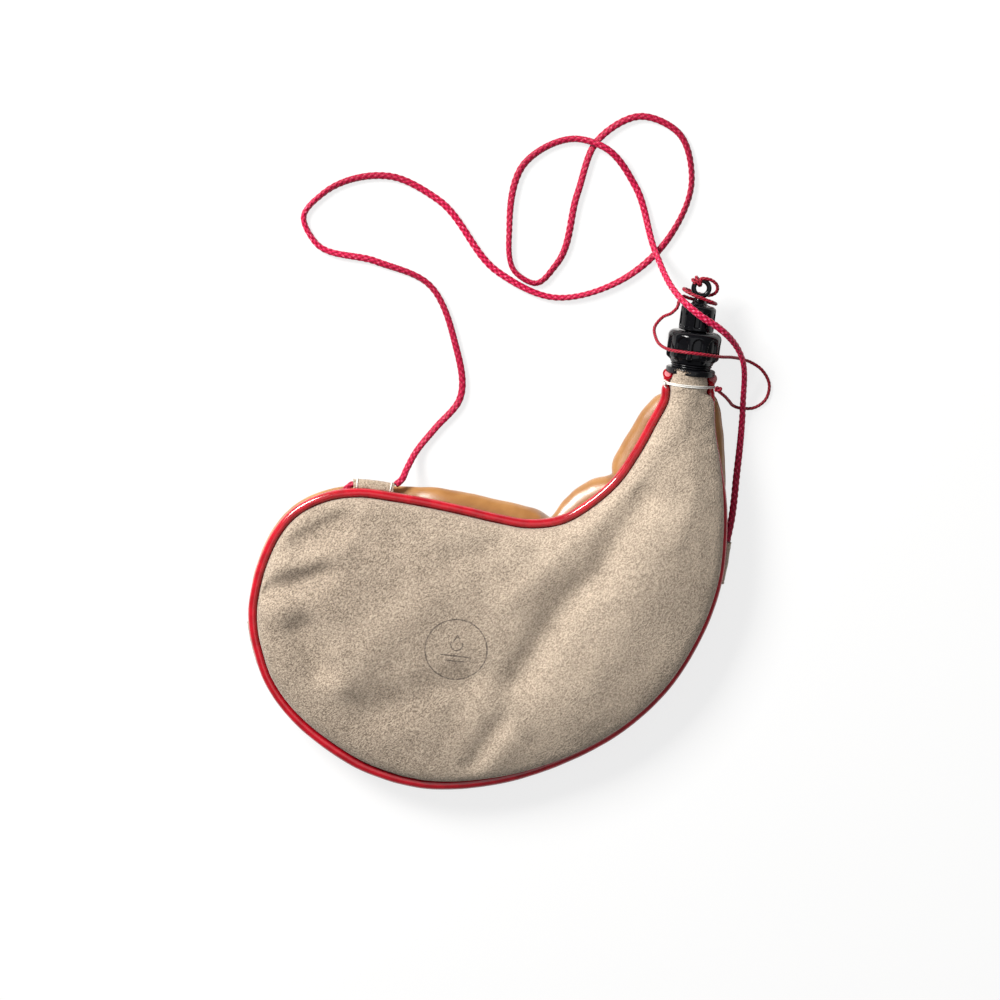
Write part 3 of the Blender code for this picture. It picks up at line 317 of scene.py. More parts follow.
class Value:
    """A node's output that can be written in sums, each of which adds its Math node."""

    def __init__(self, finish, socket):
        self.finish = finish
        self.socket = socket

    def maths(self, operation, first, second=None):
        values = [first] if second is None else [first, second]
        return self.finish.add("ShaderNodeMath", {"operation": operation}, dict(enumerate(values)))

    def __add__(self, other):
        return self.maths("ADD", self, other)

    def __radd__(self, other):
        return self.maths("ADD", other, self)

    def __sub__(self, other):
        return self.maths("SUBTRACT", self, other)

    def __rsub__(self, other):
        return self.maths("SUBTRACT", other, self)

    def __mul__(self, other):
        return self.maths("MULTIPLY", self, other)

    def __rmul__(self, other):
        return self.maths("MULTIPLY", other, self)

    def __truediv__(self, other):
        return self.maths("DIVIDE", self, other)

    def __pow__(self, other):
        return self.maths("POWER", self, other)

    def __abs__(self):
        return self.maths("ABSOLUTE", self)

    def least(self, other):
        return self.maths("MINIMUM", self, other)

    def most(self, other):
        return self.maths("MAXIMUM", self, other)


class Finish:
    """One material, built node by node."""

    def __init__(self, name):
        self.material = bpy.data.materials.new(name)
        self.material.use_nodes = True
        self.tree = self.material.node_tree
        self.shader = self.tree.nodes["Principled BSDF"]

    def add(self, kind, settings=None, inputs=None, output=0):
        """A node with its settings, then the values or links of its sockets."""
        node = self.tree.nodes.new(kind)
        for name, setting in (settings or {}).items():
            if name == "stops":
                self.set_stops(node.color_ramp, setting)
            else:
                setattr(node, name, setting)
        for name, value in (inputs or {}).items():
            self.join(node.inputs[name], value)
        return Value(self, node.outputs[output])

    def set_stops(self, ramp, stops):
        while len(ramp.elements) < len(stops):
            ramp.elements.new(1.0)
        for element, (place, colour) in zip(ramp.elements, stops):
            element.position = place
            element.color = (*colour, 1.0)

    def join(self, socket, value):
        if isinstance(value, Value):
            self.tree.links.new(value.socket, socket)
        else:
            socket.default_value = value

    def place(self, stretch=(1, 1, 1), turn=0.0):
        """The point on the piece. Marks get longer along x, which may be turned about the vertical."""
        point = self.add("ShaderNodeTexCoord", output=3)
        return self.add("ShaderNodeMapping", {"vector_type": "TEXTURE"},
                        {"Vector": point, "Rotation": (0, 0, turn), "Scale": stretch})

    def grain(self, point, scale, detail=2.0, rough=0.5):
        return self.add("ShaderNodeTexNoise", {}, {"Vector": point, "Scale": scale,
                                                   "Detail": detail, "Roughness": rough})

    def between(self, value, low, high, start=0.0, end=1.0):
        """The value stretched from a narrow range to a wider one, smoothly."""
        return self.add("ShaderNodeMapRange", {"interpolation_type": "SMOOTHSTEP"},
                        {0: value, 1: low, 2: high, 3: start, 4: end})

    def blend(self, factor, first, second):
        """A mix of two colours, given as three numbers or as outputs."""
        colours = [c if isinstance(c, Value) else (*c, 1.0) for c in (first, second)]
        return self.add("ShaderNodeMix", {"data_type": "RGBA"},
                        {0: factor, 6: colours[0], 7: colours[1]}, output=2)

    def bump(self, height, depth, strength=1.0):
        return self.add("ShaderNodeBump", {}, {"Height": height, "Distance": depth,
                                               "Strength": strength})

    def attribute(self, name):
        """A value that the piece's own points carry."""
        return self.add("ShaderNodeAttribute", {"attribute_name": name}, output=2)

    def finish(self, **values):
        for name, value in values.items():
            self.join(self.shader.inputs[name.replace("_", " ").title().replace("Ior", "IOR")], value)
        return self.material


NAP_SLANT = math.radians(45)


def suede_finish(name, light, dark, stamped=False):
    """Raw suede: pale and dark tufts that lie slantwise, paler toward the neck."""
    suede = Finish(name)
    tufts = suede.grain(suede.place((1.5, 1.0, 1.0), NAP_SLANT), 1900, 1.0, 0.5)
    clumps = suede.grain(suede.place((1.4, 1.0, 1.0), NAP_SLANT), 1150, 1.0, 0.5)
    rubbed = suede.grain(suede.place(), 95, 3.0, 0.6)
    stained = suede.grain(suede.place(), 17, 3.0, 0.55)
    fibres = suede.between(tufts * 0.55 + clumps * 0.45, 0.33, 0.67)
    across = suede.add("ShaderNodeSeparateXYZ", {}, {0: suede.place()}, output=0)
    near_neck = suede.between(across, NECK.x - 0.19, NECK.x - 0.03)
    shade = fibres * 0.66 + suede.between(rubbed, 0.3, 0.7) * 0.10
    shade = shade + suede.between(stained, 0.3, 0.7) * 0.10 + near_neck * 0.16
    colour = suede.blend(shade, dark, light)
    if stamped:
        colour = suede.blend(stamp_ink(suede, fibres), colour, INK_BROWN)
    height = tufts * 0.8 + clumps * 0.9 + rubbed * 0.3
    return suede.finish(base_color=colour, roughness=0.93, normal=suede.bump(height, 0.5 * MM, 0.8),
                        sheen_weight=0.15, sheen_roughness=0.5, specular_ior_level=0.2)


# The ink mark on the front: where it is from the neck, and its line
STAMP_X = -108.2 * MM
STAMP_Y = -165.8 * MM
STAMP_RADIUS = 17.0 * MM
STAMP_LINE = 0.52 * MM
INK_BROWN = (0.040, 0.030, 0.030)
# Plain bars inside the ring: middle x and y, half width and half height
STAMP_BARS = [(0.0, -3.4, 8.6, 0.55), (0.0, -6.4, 5.6, 0.55)]
DROP_RADIUS = 3.3 * MM
DROP_Y = 3.0 * MM
DROP_TIP = 8.2 * MM


def stamp_ink(suede, fibres):
    """A thin ring with a drop over two bars, in ink that the nap has broken up."""
    point = suede.add("ShaderNodeTexCoord", output=3)
    centre = NECK + Vector((STAMP_X, STAMP_Y, 0))
    from_centre = suede.add("ShaderNodeVectorMath", {"operation": "SUBTRACT"},
                            {0: point, 1: centre})
    flat = suede.add("ShaderNodeVectorMath", {"operation": "MULTIPLY"}, {0: from_centre, 1: (1, 1, 0)})
    reach = suede.add("ShaderNodeVectorMath", {"operation": "LENGTH"}, {0: flat}, output=1)
    across = suede.add("ShaderNodeSeparateXYZ", {}, {0: flat}, output=0)
    up = suede.add("ShaderNodeSeparateXYZ", {}, {0: flat}, output=1)
    ring = suede.between(abs(reach - STAMP_RADIUS), STAMP_LINE, 0.3 * STAMP_LINE)
    drop_centre = suede.add("ShaderNodeVectorMath", {"operation": "SUBTRACT"},
                            {0: flat, 1: (0, DROP_Y, 0)})
    drop_reach = suede.add("ShaderNodeVectorMath", {"operation": "LENGTH"}, {0: drop_centre}, output=1)
    ball = suede.between(abs(drop_reach - DROP_RADIUS), STAMP_LINE, 0.3 * STAMP_LINE)
    below_tip = suede.between(up, DROP_Y + 0.5 * DROP_RADIUS, DROP_Y + 0.4 * DROP_RADIUS)
    side = abs(across) - (DROP_TIP - up) * 0.50
    point_lines = suede.between(abs(side), STAMP_LINE, 0.3 * STAMP_LINE)
    point_lines = point_lines * suede.between(up, DROP_TIP + 0.1 * DROP_RADIUS, DROP_TIP)
    ink = ring.most(ball * below_tip).most(point_lines * (1 - below_tip))
    for x, y, half_width, half_height in STAMP_BARS:
        wide = suede.between(abs(across - x * MM), half_width * MM, half_width * MM - STAMP_LINE)
        high = suede.between(abs(up - y * MM), half_height * MM, 0.4 * half_height * MM)
        ink = ink.most(wide * high)
    ink_wear_and_cord_shade = suede.between(suede.grain(point, 420, 3.0, 0.6), 0.32, 0.56, 0.45, 0.9)
    return ink * ink_wear_and_cord_shade * (1 - fibres * 0.35)


def tan_leather_finish():
    """Smooth tan leather with a fine pore, and painted shade in its pinches and along the seam."""
    leather = Finish("tan_leather")
    pores = leather.add("ShaderNodeTexVoronoi", {"feature": "DISTANCE_TO_EDGE"},
                        {"Vector": leather.place(), "Scale": 900})
    cloud = leather.grain(leather.place(), 38, 3.0, 0.55)
    streak = leather.grain(leather.place((3, 1, 1), math.radians(30)), 140, 3.0, 0.6)
    crease = leather.attribute("crease")
    shade = leather.between(cloud * 0.75 + streak * 0.25, 0.36, 0.64)
    colour = leather.blend(shade, (0.30, 0.130, 0.036), (0.43, 0.210, 0.066))
    # Painted shade: darker brown in the pinches and along the edge by the seam.
    colour = leather.blend(crease, colour, (0.15, 0.052, 0.013))
    height = leather.between(pores, 0.0, 0.12) * 0.5 + streak * 0.3
    return leather.finish(base_color=colour, roughness=0.27 + 0.10 * cloud,
                          normal=leather.bump(height, 0.08 * MM, 0.4), coat_weight=0.35,
                          coat_roughness=0.18)


def red_piping_finish():
    """Glossy red plastic with faint ripples and rub marks, and painted shade on the bead's inward side and
    flange.
    """
    plastic = Finish("red_piping")
    cloud = plastic.grain(plastic.place(), 120, 3.0, 0.6)
    scuff = plastic.grain(plastic.place(), 900, 3.0, 0.7)
    inner = plastic.attribute("inner_side")
    colour = plastic.blend(plastic.between(cloud, 0.35, 0.65), (0.34, 0.003, 0.010), (0.48, 0.005, 0.016))
    # Painted shade: darker on the bead's side toward the panels and on the flange.
    colour = plastic.blend(inner * 0.35, colour, (0.14, 0.001, 0.004))
    return plastic.finish(base_color=colour, roughness=0.15 + 0.14 * plastic.between(scuff, 0.45, 0.75),
                          normal=plastic.bump(cloud, 0.3 * MM, 0.5), coat_weight=0.5, coat_roughness=0.08)


def black_plastic_finish(name, roughness):
    """Moulded black plastic, satin, with a fine grain and patches of dust."""
    plastic = Finish(name)
    grain = plastic.grain(plastic.place(), 2200, 2.0, 0.5)
    dust = plastic.grain(plastic.place(), 210, 4.0, 0.65)
    dusty = plastic.between(dust, 0.5, 0.75)
    colour = plastic.blend(dusty * 0.5, (0.003, 0.003, 0.004), (0.010, 0.011, 0.013))
    return plastic.finish(base_color=colour, roughness=roughness + 0.10 * dusty, specular_ior_level=0.27,
                          normal=plastic.bump(grain * 0.4 + dust * 0.6, 0.05 * MM, 0.35))


def braid_finish(name, deep, body, bright, fleck, streaks=900, ink_wear_and_cord_shade=False):
    """Cord yarn: painted shade between the strands, painted highlights with pale flecks on top of them."""
    yarn = Finish(name)
    height = yarn.attribute("braid_height")
    thread = yarn.attribute("yarn")
    fleck_at = yarn.between(yarn.grain(yarn.place(), streaks, 2.0, 0.6), 0.53, 0.66)
    painted_highlight = yarn.between(height, 0.55, 0.95)
    body_share = yarn.between(height, 0.15, 0.6)
    # Where asked, the carried painted light share paints lit and shaded stretches along the cord.
    if ink_wear_and_cord_shade:
        gloss = yarn.attribute("gloss")
        painted_highlight = painted_highlight * (0.05 + 0.95 * gloss)
        body_share = body_share * (0.30 + 0.70 * gloss)
    # Painted shade in the dips between strands, painted highlights and their pale flecks on the strands' tops.
    colour = yarn.blend(body_share, deep, body)
    colour = yarn.blend(painted_highlight * 0.8, colour, bright)
    colour = yarn.blend(fleck_at * painted_highlight * 0.8, colour, fleck)
    return yarn.finish(base_color=colour, roughness=0.5, sheen_weight=0.10, sheen_roughness=0.4,
                       specular_ior_level=0.25, normal=yarn.bump(thread, 0.10 * MM, 0.6))


def rubber_finish():
    rubber = Finish("seal_rubber")
    speck = rubber.grain(rubber.place(), 1400, 3.0, 0.6)
    colour = rubber.blend(speck, (0.06, 0.06, 0.06), (0.13, 0.13, 0.13))
    return rubber.finish(base_color=colour, roughness=0.8, normal=rubber.bump(speck, 0.05 * MM, 0.4))


def latex_finish():
    latex = Finish("liner_latex")
    cloud = latex.grain(latex.place(), 60, 4.0, 0.6)
    colour = latex.blend(cloud, (0.66, 0.50, 0.24), (0.82, 0.70, 0.42))
    return latex.finish(base_color=colour, roughness=0.35, normal=latex.bump(cloud, 0.3 * MM, 0.3))


def thread_finish(name, pale, ply_shade):
    """Waxed thread, with painted shade between its plies and fine random specks."""
    thread = Finish(name)
    ply = thread.attribute("braid_height")
    speck = thread.grain(thread.place(), 1800, 3.0, 0.6)
    # Painted shade: the hollows between the plies take the darker colour.
    colour = thread.blend(thread.between(ply, 0.1, 0.8) * 0.8 + speck * 0.2, ply_shade, pale)
    return thread.finish(base_color=colour, roughness=0.55, normal=thread.bump(speck, 0.08 * MM, 0.5))


SUEDE = suede_finish("front_suede", (0.64, 0.522, 0.405), (0.115, 0.085, 0.061), stamped=True)
TAB_SUEDE = suede_finish("tab_suede", (0.62, 0.50, 0.385), (0.20, 0.145, 0.10))
TAN_LEATHER = tan_leather_finish()
RED_PIPING = red_piping_finish()
CAP_PLASTIC = black_plastic_finish("cap_plastic", 0.11)
COLLAR_PLASTIC = black_plastic_finish("collar_plastic", 0.17)
# Colours for both cords: painted shade between strands, the yarn's own colour, painted highlight, pale
# highlight fleck.
CORD_BRAID = braid_finish("shoulder_cord_braid", (0.17, 0.0, 0.014), (0.56, 0.003, 0.048),
                          (0.70, 0.020, 0.115), (0.95, 0.30, 0.44), ink_wear_and_cord_shade=True)
TETHER_BRAID = braid_finish("tether_twist", (0.07, 0.0, 0.006), (0.26, 0.002, 0.014),
                            (0.38, 0.008, 0.030), (0.46, 0.06, 0.09), 1500)
# Colours: the thread's own pale colour, then the painted shade between plies.
WAXED_THREAD = thread_finish("waxed_thread", (0.86, 0.84, 0.80), (0.50, 0.47, 0.42))
RUBBER = rubber_finish()
LATEX = latex_finish()
PIPING_CORE = Finish("piping_core").finish(base_color=(0.72, 0.20, 0.22, 1.0), roughness=0.6)


def new_piece(name, points, faces, material, body="bag", sharp=None):
    """A smooth mesh from points in the neck's frame, that rides on a body."""
    mesh = bpy.data.meshes.new(name)
    mesh.from_pydata([tuple(p + NECK) for p in points], [], faces)
    mesh.update()
    mesh.shade_smooth()
    if sharp is not None:
        mesh.set_sharp_from_angle(angle=math.radians(sharp))
    mesh.materials.append(material)
    piece = bpy.data.objects.new(name, mesh)
    bpy.context.scene.collection.objects.link(piece)
    if body:
        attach(piece, body)
    return piece


def grid_faces(rows, columns, closed=False, flip=False):
    """Quads between neighbouring rows of points, open or closed across."""
    faces = []
    for i in range(rows - 1):
        for j in range(columns if closed else columns - 1):
            a, b = i * columns + j, i * columns + (j + 1) % columns
            quad = (a, b, b + columns, a + columns)
            faces.append(quad[::-1] if flip else quad)
    return faces


def carry(piece, name, values):
    """Give each point of a piece a number that its material reads."""
    layer = piece.data.attributes.new(name, 'FLOAT', 'POINT')
    layer.data.foreach_set("value", values)


def thicken(piece, thickness, offset=-1):
    skin = piece.modifiers.new("thickness", 'SOLIDIFY')
    skin.thickness = thickness
    skin.offset = offset
    skin.use_even_offset = True
    skin.thickness_clamp = 1.0


# Soft folds in the front: how wide each reaches, how high it stands and the points it runs
# through from the neck, all in millimetres
FRONT_FOLDS = [
    # the long slanting valley, its end below, and the ridges on both sides of it
    (9.0, -4.6, [(-16, -72), (-25, -90), (-36, -116), (-50, -131), (-61, -153), (-73, -180)]),
    (5.5, -2.4, [(-79, -204), (-91, -230)]),
    (9.0, 2.2, [(-46, -86), (-62, -112), (-80, -133)]),
    (19.0, 3.2, [(-4, -98), (-20, -146), (-42, -187)]),
    (8.0, 1.4, [(-70, -206), (-78, -226)]),
    # the broad hollow below the middle
    (11.0, -3.0, [(-99, -180), (-122, -193), (-150, -206)]),
    (7.0, -1.6, [(-98, -184), (-105, -208)]),
    (12.0, 2.2, [(-128, -142), (-152, -168), (-164, -190)]),
    # dents at the far end, and the ridges between them
    (9.0, -4.4, [(-182, -105), (-198, -118)]),
    (6.5, 1.8, [(-176, -118), (-196, -129), (-212, -134)]),
    (6.5, -4.2, [(-214, -147), (-204, -143), (-186, -134)]),
    (9.5, -4.8, [(-193, -166), (-181, -184)]),
    (6.5, 2.0, [(-172, -178), (-168, -194)]),
    (9.0, 1.4, [(-206, -158), (-184, -154)]),
    # shallow dents under the inner curve, and lines down the neck
    (8.0, -1.4, [(-92, -106), (-116, -117)]),
    (10.0, -1.2, [(-140, -104), (-160, -108)]),
    (3.5, -0.7, [(5, -2), (4, -35)]),
    (7.0, -1.0, [(-4, -44), (-16, -66)]),
    (6.0, 0.9, [(10, -62), (4, -92)]),
]


def line_distance(x, y, line):
    """How far a flat point is from a line through several points, in millimetres."""
    nearest = math.inf
    for (ax, ay), (bx, by) in zip(line, line[1:]):
        length = (bx - ax) ** 2 + (by - ay) ** 2
        t = min(max(((x - ax) * (bx - ax) + (y - ay) * (by - ay)) / length, 0.0), 1.0)
        nearest = min(nearest, math.hypot(x - ax - t * (bx - ax), y - ay - t * (by - ay)))
    return nearest


def fold_height(x, y):
    """The sum of the soft folds at a point of the front."""
    height = 0.0
    for width, tall, line in FRONT_FOLDS:
        away = line_distance(x / MM, y / MM, line) / width
        if away < 3:
            height += tall * MM * math.exp(-away * away)
    return height


def ripple(point, scale, seed):
    """Smooth noise about zero, the same each run."""
    return noise.noise(Vector((point.x * scale, point.y * scale, point.z * scale + seed)))


FRONT_COLUMNS = 120
FRONT_ROW_STEP = 0.08
OVERHANG_START = 1.7 * MM


def overhang_at(row, rise, dome):
    """How far the suede leans out over the piping, most low on its side and none on top."""
    out = OVERHANG * eased_share(OVERHANG_SHARES, row)
    return out * eased(dome * rise / OVERHANG_START) * (1 - eased((rise - 0.25) / 0.65))


def front_section(row):
    """One rib of the suede front, from its inner rim over the dome to its outer rim."""
    ends = (rim_at(row), rim_at(LAST_PLACE - row))
    width = (ends[1] - ends[0]).length
    wall = RIM_WALL * far_taper(row)
    dome = FRONT_DOME * eased_share(FRONT_DOME_SHARES, row)
    calm = eased((row - 1.0) / 1.5) * eased((FAR_ROW - row) / 1.6)
    points = [ends[0] + Vector((0, 0, RIM_LIFT))]
    for j in range(FRONT_COLUMNS + 1):
        angle = math.pi * j / FRONT_COLUMNS
        point = ends[0].lerp(ends[1], (1 - math.cos(angle)) / 2)
        rise = math.sin(angle) ** (0.85 - 0.22 * eased(j / FRONT_COLUMNS) * eased((row - 2) / 3))
        away = min(math.cos(angle / 2) ** 2, math.sin(angle / 2) ** 2) * width
        near_rim = math.exp(-(away / (7 * MM)) ** 2)
        pucker = 0.45 * MM * ripple(point, 210, 3.7) * near_rim * eased(row / 2)
        soft = 0.7 * MM * ripple(point, 38, 1.1) + 0.25 * MM * ripple(point, 95, 5.3)
        inside = eased(away / (12 * MM))
        point.z += RIM_LIFT + wall + dome * rise + pucker
        point.z += (fold_height(point.x, point.y) + soft) * calm * inside
        if j > FRONT_COLUMNS / 2:
            point -= inward_at(LAST_PLACE - row) * overhang_at(row, rise, dome)
        points.append(point)
    points.append(ends[1] + Vector((0, 0, RIM_LIFT)))
    return points


FRAY_REACH = 1.1 * MM
FRAY_ROWS = 5


def torn_lift(point):
    """How the torn edge stands up and forward, most at its left."""
    across = point.x / NECK_HALF_WIDTH
    free = eased((0.8 - abs(across)) * 5)
    return Vector((0, (0.75 - 2.2 * across) * MM, (0.9 - 0.65 * across) * MM)) * free


def add_suede_front():
    """The front: one sheet of suede, domed, dented, with a torn edge at the neck."""
    rows = [i * FRONT_ROW_STEP for i in range(int(FAR_ROW / FRONT_ROW_STEP))]
    sections = [front_section(row) for row in rows]
    for i, section in enumerate(sections[:FRAY_ROWS]):
        hold = 1 - i / FRAY_ROWS
        for point in section:
            across = abs(point.x) / NECK_HALF_WIDTH
            torn = 0.7 + ripple(point, 900, 2.2) + 0.5 * ripple(point, 2600, 8.1)
            lift = torn_lift(point)
            point.y += FRAY_REACH * max(torn, 0.0) * hold * eased((0.75 - across) * 5)
            point += lift * hold
    tip = rim_at(FAR_ROW) + Vector((0, 0, RIM_LIFT))
    columns = len(sections[0])
    points = [p for section in sections for p in section] + [tip]
    faces = grid_faces(len(sections), columns, flip=True)
    last = (len(sections) - 1) * columns
    faces += [(len(points) - 1, last + j + 1, last + j) for j in range(columns - 1)]
    front = new_piece("suede_front", points, faces, SUEDE)
    thicken(front, PANEL_THICKNESS)
    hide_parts("front_panel")
    return front


BACK_HALF_COLUMNS = 40
# Where the back is pinched on the inner curve: row, reach along it, and depth
PINCHES = [(5.12, 0.17, 1.0), (7.42, 0.24, 1.0), (11.3, 0.35, 0.2), (2.2, 0.4, 0.15)]


def crease_at(row, s):
    """How deep the back is drawn in at a row, most near the seam, and one at a pinch."""
    depth = 0.0
    for place, reach, strength in PINCHES:
        drift = place + 0.35 * s * (1 if place > 6 else -1)
        depth += strength * math.exp(-((row - drift) / (reach * (0.5 + 1.2 * s))) ** 2)
    return min(depth * (1 - 0.7 * s), 1.0)


def back_half_section(row, place, middle, bulge_shares, wall_shares, inner):
    """Half a rib of the back, from its rim out over the bulge and down to the middle."""
    rim = rim_at(place)
    outward = -inward_at(place)
    inset = bead_radius_at(place) + FIT_GAP
    bulge = (LOBE_BULGE * eased_share(bulge_shares, row, 0.16) + inset) * far_taper(row)
    depth = BACK_DEPTH * eased_share(BACK_DEPTH_SHARES, row)
    top = rim.z - RIM_LIFT
    drop = top + depth
    wall = RIM_WALL + (CORD_WALL - RIM_WALL) * eased_share(wall_shares, row)
    wall = min(wall, drop / 2)
    roundness = eased_share(NECK_ROUND_SHARES, row)
    points = [Vector((rim.x, rim.y, top))]
    crease_shades = [0.0]
    for j in range(BACK_HALF_COLUMNS):
        s = j / BACK_HALF_COLUMNS
        angle = math.pi / 2 * s
        across = math.cos(angle) ** roundness
        drawn = crease_at(row, s) if inner else 0.0
        point = middle.lerp(rim, across)
        swell = bulge * math.sin(math.pi * s ** 0.63)
        soft = 0.35 * MM * ripple(rim + outward * s * 0.05, 70, 9.4) * math.sin(math.pi * s)
        fine = 0.10 * MM * ripple(rim + outward * s * 0.05, 260, 4.4) * math.sin(math.pi * s ** 0.5)
        point += outward * (swell + (soft + fine) * eased(row / 2) - 2.2 * MM * drawn * (1 - s))
        point.z = top - wall - (drop - wall) * math.sin(angle)
        points.append(point)
        # Painted shade share for the material: most in a pinch and right by the seam.
        crease_shades.append(min(1.0, drawn * 0.8 + 0.55 * math.exp(-(s / 0.05) ** 2)))
    return points, crease_shades, depth


def add_tan_back():
    """The back: smooth tan leather that bulges past the seam in three lobes."""
    rows = [i * FRONT_ROW_STEP * 0.8 for i in range(int(FAR_ROW / FRONT_ROW_STEP / 0.8))]
    points = []
    crease_shades = []
    for row in rows:
        inner, outer = row, LAST_PLACE - row
        middle = (rim_at(inner) + rim_at(outer)) / 2
        left, shade_left, depth = back_half_section(row, inner, middle, INNER_BULGE_SHARES,
                                                   INNER_WALL_SHARES, True)
        right, shade_right, depth = back_half_section(row, outer, middle, OUTER_BULGE_SHARES,
                                                     OUTER_WALL_SHARES, False)
        points += left + [Vector((middle.x, middle.y, -depth))] + right[::-1]
        crease_shades += shade_left + [0.0] + shade_right[::-1]
    columns = 2 * BACK_HALF_COLUMNS + 3
    for point in points:
        point.z = max(point.z, TABLE)
    points.append(rim_at(FAR_ROW) - Vector((0, 0, RIM_LIFT)))
    crease_shades.append(0.0)
    faces = grid_faces(len(rows), columns)
    last = (len(rows) - 1) * columns
    faces += [(last + j, last + j + 1, len(points) - 1) for j in range(columns - 1)]
    back = new_piece("tan_back", points, faces, TAN_LEATHER)
    carry(back, "crease", crease_shades)
    thicken(back, PANEL_THICKNESS)
    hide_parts("back_panel")
    return back


LINER_SIDES = 48
LINER_INSET_SHARES = [(0, 0.9), (1.2, 0.9), (1.8, 1.4), (3, 2.2), (19, 2.2)]
LINER_GAP = 0.6 * MM
LINER_START = 0.2
LINER_END = 17.2
LINER_RINGS = 90


def add_liner():
    """The latex pouch between the panels, which no view shows."""
    points = []
    for i in range(LINER_RINGS):
        row = LINER_START + (LINER_END - LINER_START) * i / (LINER_RINGS - 1)
        clearance = PANEL_THICKNESS + LINER_GAP
        slack = clearance + 3 * LINER_GAP
        inset = clearance * share_at(LINER_INSET_SHARES, row)
        left = rim_at(row) + inward_at(row) * inset
        right = rim_at(LAST_PLACE - row) + inward_at(LAST_PLACE - row) * inset
        height = RIM_LIFT + RIM_WALL + FRONT_DOME * share_at(FRONT_DOME_SHARES, row) - 1.6 * slack
        depth = min(BACK_DEPTH * share_at(BACK_DEPTH_SHARES, row), -TABLE) - slack
        for j in range(LINER_SIDES):
            angle = 2 * math.pi * j / LINER_SIDES
            point = left.lerp(right, (1 - math.cos(angle)) / 2)
            point.z += math.sin(angle) * (height if math.sin(angle) > 0 else depth + point.z)
            points.append(point)
    faces = grid_faces(LINER_RINGS, LINER_SIDES, closed=True, flip=True)
    last = (LINER_RINGS - 1) * LINER_SIDES
    end = sum((points[last + j] for j in range(LINER_SIDES)), Vector()) / LINER_SIDES
    points.append(end)
    faces += [(len(points) - 1, last + (j + 1) % LINER_SIDES, last + j) for j in range(LINER_SIDES)]
    liner = new_piece("latex_liner", points, faces, LATEX)
    thicken(liner, LINER_THICKNESS)
    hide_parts("bladder")


PIPING_RINGS = 620
BEAD_SIDES = 20
BEAD_BORE_SHARE = 0.62
PIPING_START = 0.06


def add_piping():
    """The red bead and its flange round the whole seam, cut slantwise at the neck."""
    length = BEAD_SIDES + 2
    points = []
    inner_side_shades = []
    for i in range(PIPING_RINGS):
        place = PIPING_START + (LAST_PLACE - 2 * PIPING_START) * i / (PIPING_RINGS - 1)
        centre = curve_at(SEAM, place)
        inward = inward_at(place)
        along = Vector((inward.y, -inward.x, 0))
        radius = bead_radius_at(place) * (1 + 0.035 * ripple(centre, 150, 6.6))
        slant = 0.9 * eased((PIPING_START + 0.35 - row_of(place)) / 0.35)
        half = FLANGE_THICKNESS / 2
        opening = math.asin(half / radius)
        for j in range(BEAD_SIDES):
            angle = opening + (2 * math.pi - 2 * opening) * j / (BEAD_SIDES - 1)
            height = radius * math.sin(angle)
            back = along * (slant * height * (1 if place < FAR_ROW else -1))
            points.append(centre + inward * (radius * math.cos(angle)) + Vector((0, 0, height)) + back)
            # Painted shade share: rising on the bead's side toward the panels, full on the flange.
            inner_side_shades.append(eased((math.cos(angle) - 0.25) / 0.55))
        for side in (-half, half):
            points.append(centre + inward * (FLANGE_WIDTH - BEAD_RADIUS + radius) + Vector((0, 0, side)))
            inner_side_shades.append(1.0)
    faces = grid_faces(PIPING_RINGS, length, closed=True)
    last = (PIPING_RINGS - 1) * length
    faces.append(tuple(range(length - 1, -1, -1)))
    faces.append(tuple(range(last, last + length)))
    piping = new_piece("red_piping", points, faces, RED_PIPING, sharp=50)
    carry(piping, "inner_side", inner_side_shades)
    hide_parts("piping")
    return piping


def add_piping_cores():
    """The pale cord inside the piping, at its two cut ends."""
    for name, place, ahead in (("piping_core_left", PIPING_START, 1), ("piping_core_right",
                                                                      LAST_PLACE - PIPING_START, -1)):
        centre = curve_at(SEAM, place)
        inward = inward_at(place)
        along = Vector((inward.y, -inward.x, 0)) * ahead
        radius = bead_radius_at(place) * BEAD_BORE_SHARE
        points = []
        for depth, share in ((0.5, 1.0), (-0.12, 1.0), (-0.30, 0.8), (-0.34, 0.35)):
            for j in range(BEAD_SIDES):
                angle = 2 * math.pi * j / BEAD_SIDES
                height = radius * share * math.sin(angle)
                points.append(centre + inward * (radius * share * math.cos(angle))
                              + Vector((0, 0, height)) + along * (depth * MM + 0.9 * height))
        faces = grid_faces(4, BEAD_SIDES, closed=True, flip=ahead > 0)
        ends = [tuple(range(BEAD_SIDES)), tuple(range(4 * BEAD_SIDES - 1, 3 * BEAD_SIDES - 1, -1))]
        faces += [end[::-1] if ahead > 0 else end for end in ends]
        new_piece(name, points, faces, PIPING_CORE, sharp=50)


def frames_along(points):
    """A direction, an upright side and a level side at each point of a path."""
    frames = []
    for i, point in enumerate(points):
        ahead = (points[min(i + 1, len(points) - 1)] - points[max(i - 1, 0)]).normalized()
        if not frames:
            side = ahead.cross(Vector((0, 0, 1)))
            if side.length < 0.1:
                side = ahead.cross(Vector((1, 0, 0)))
        else:
            side = frames[-1][1] - ahead * frames[-1][1].dot(ahead)
        side.normalize()
        frames.append((ahead, side, side.cross(ahead)))
    return frames


def level_frames(points):
    """Frames whose side stays level wherever the path isn't steep, as a flat cord lies."""
    frames = []
    side = None
    for i, point in enumerate(points):
        ahead = (points[min(i + 1, len(points) - 1)] - points[max(i - 1, 0)]).normalized()
        level = ahead.cross(Vector((0, 0, 1)))
        target = level.normalized() if level.length > 0.2 else (side or Vector((1, 0, 0)))
        side = target if side is None else side.lerp(target, 0.25)
        side = (side - ahead * side.dot(ahead)).normalized()
        frames.append((ahead, side, side.cross(ahead)))
    return frames


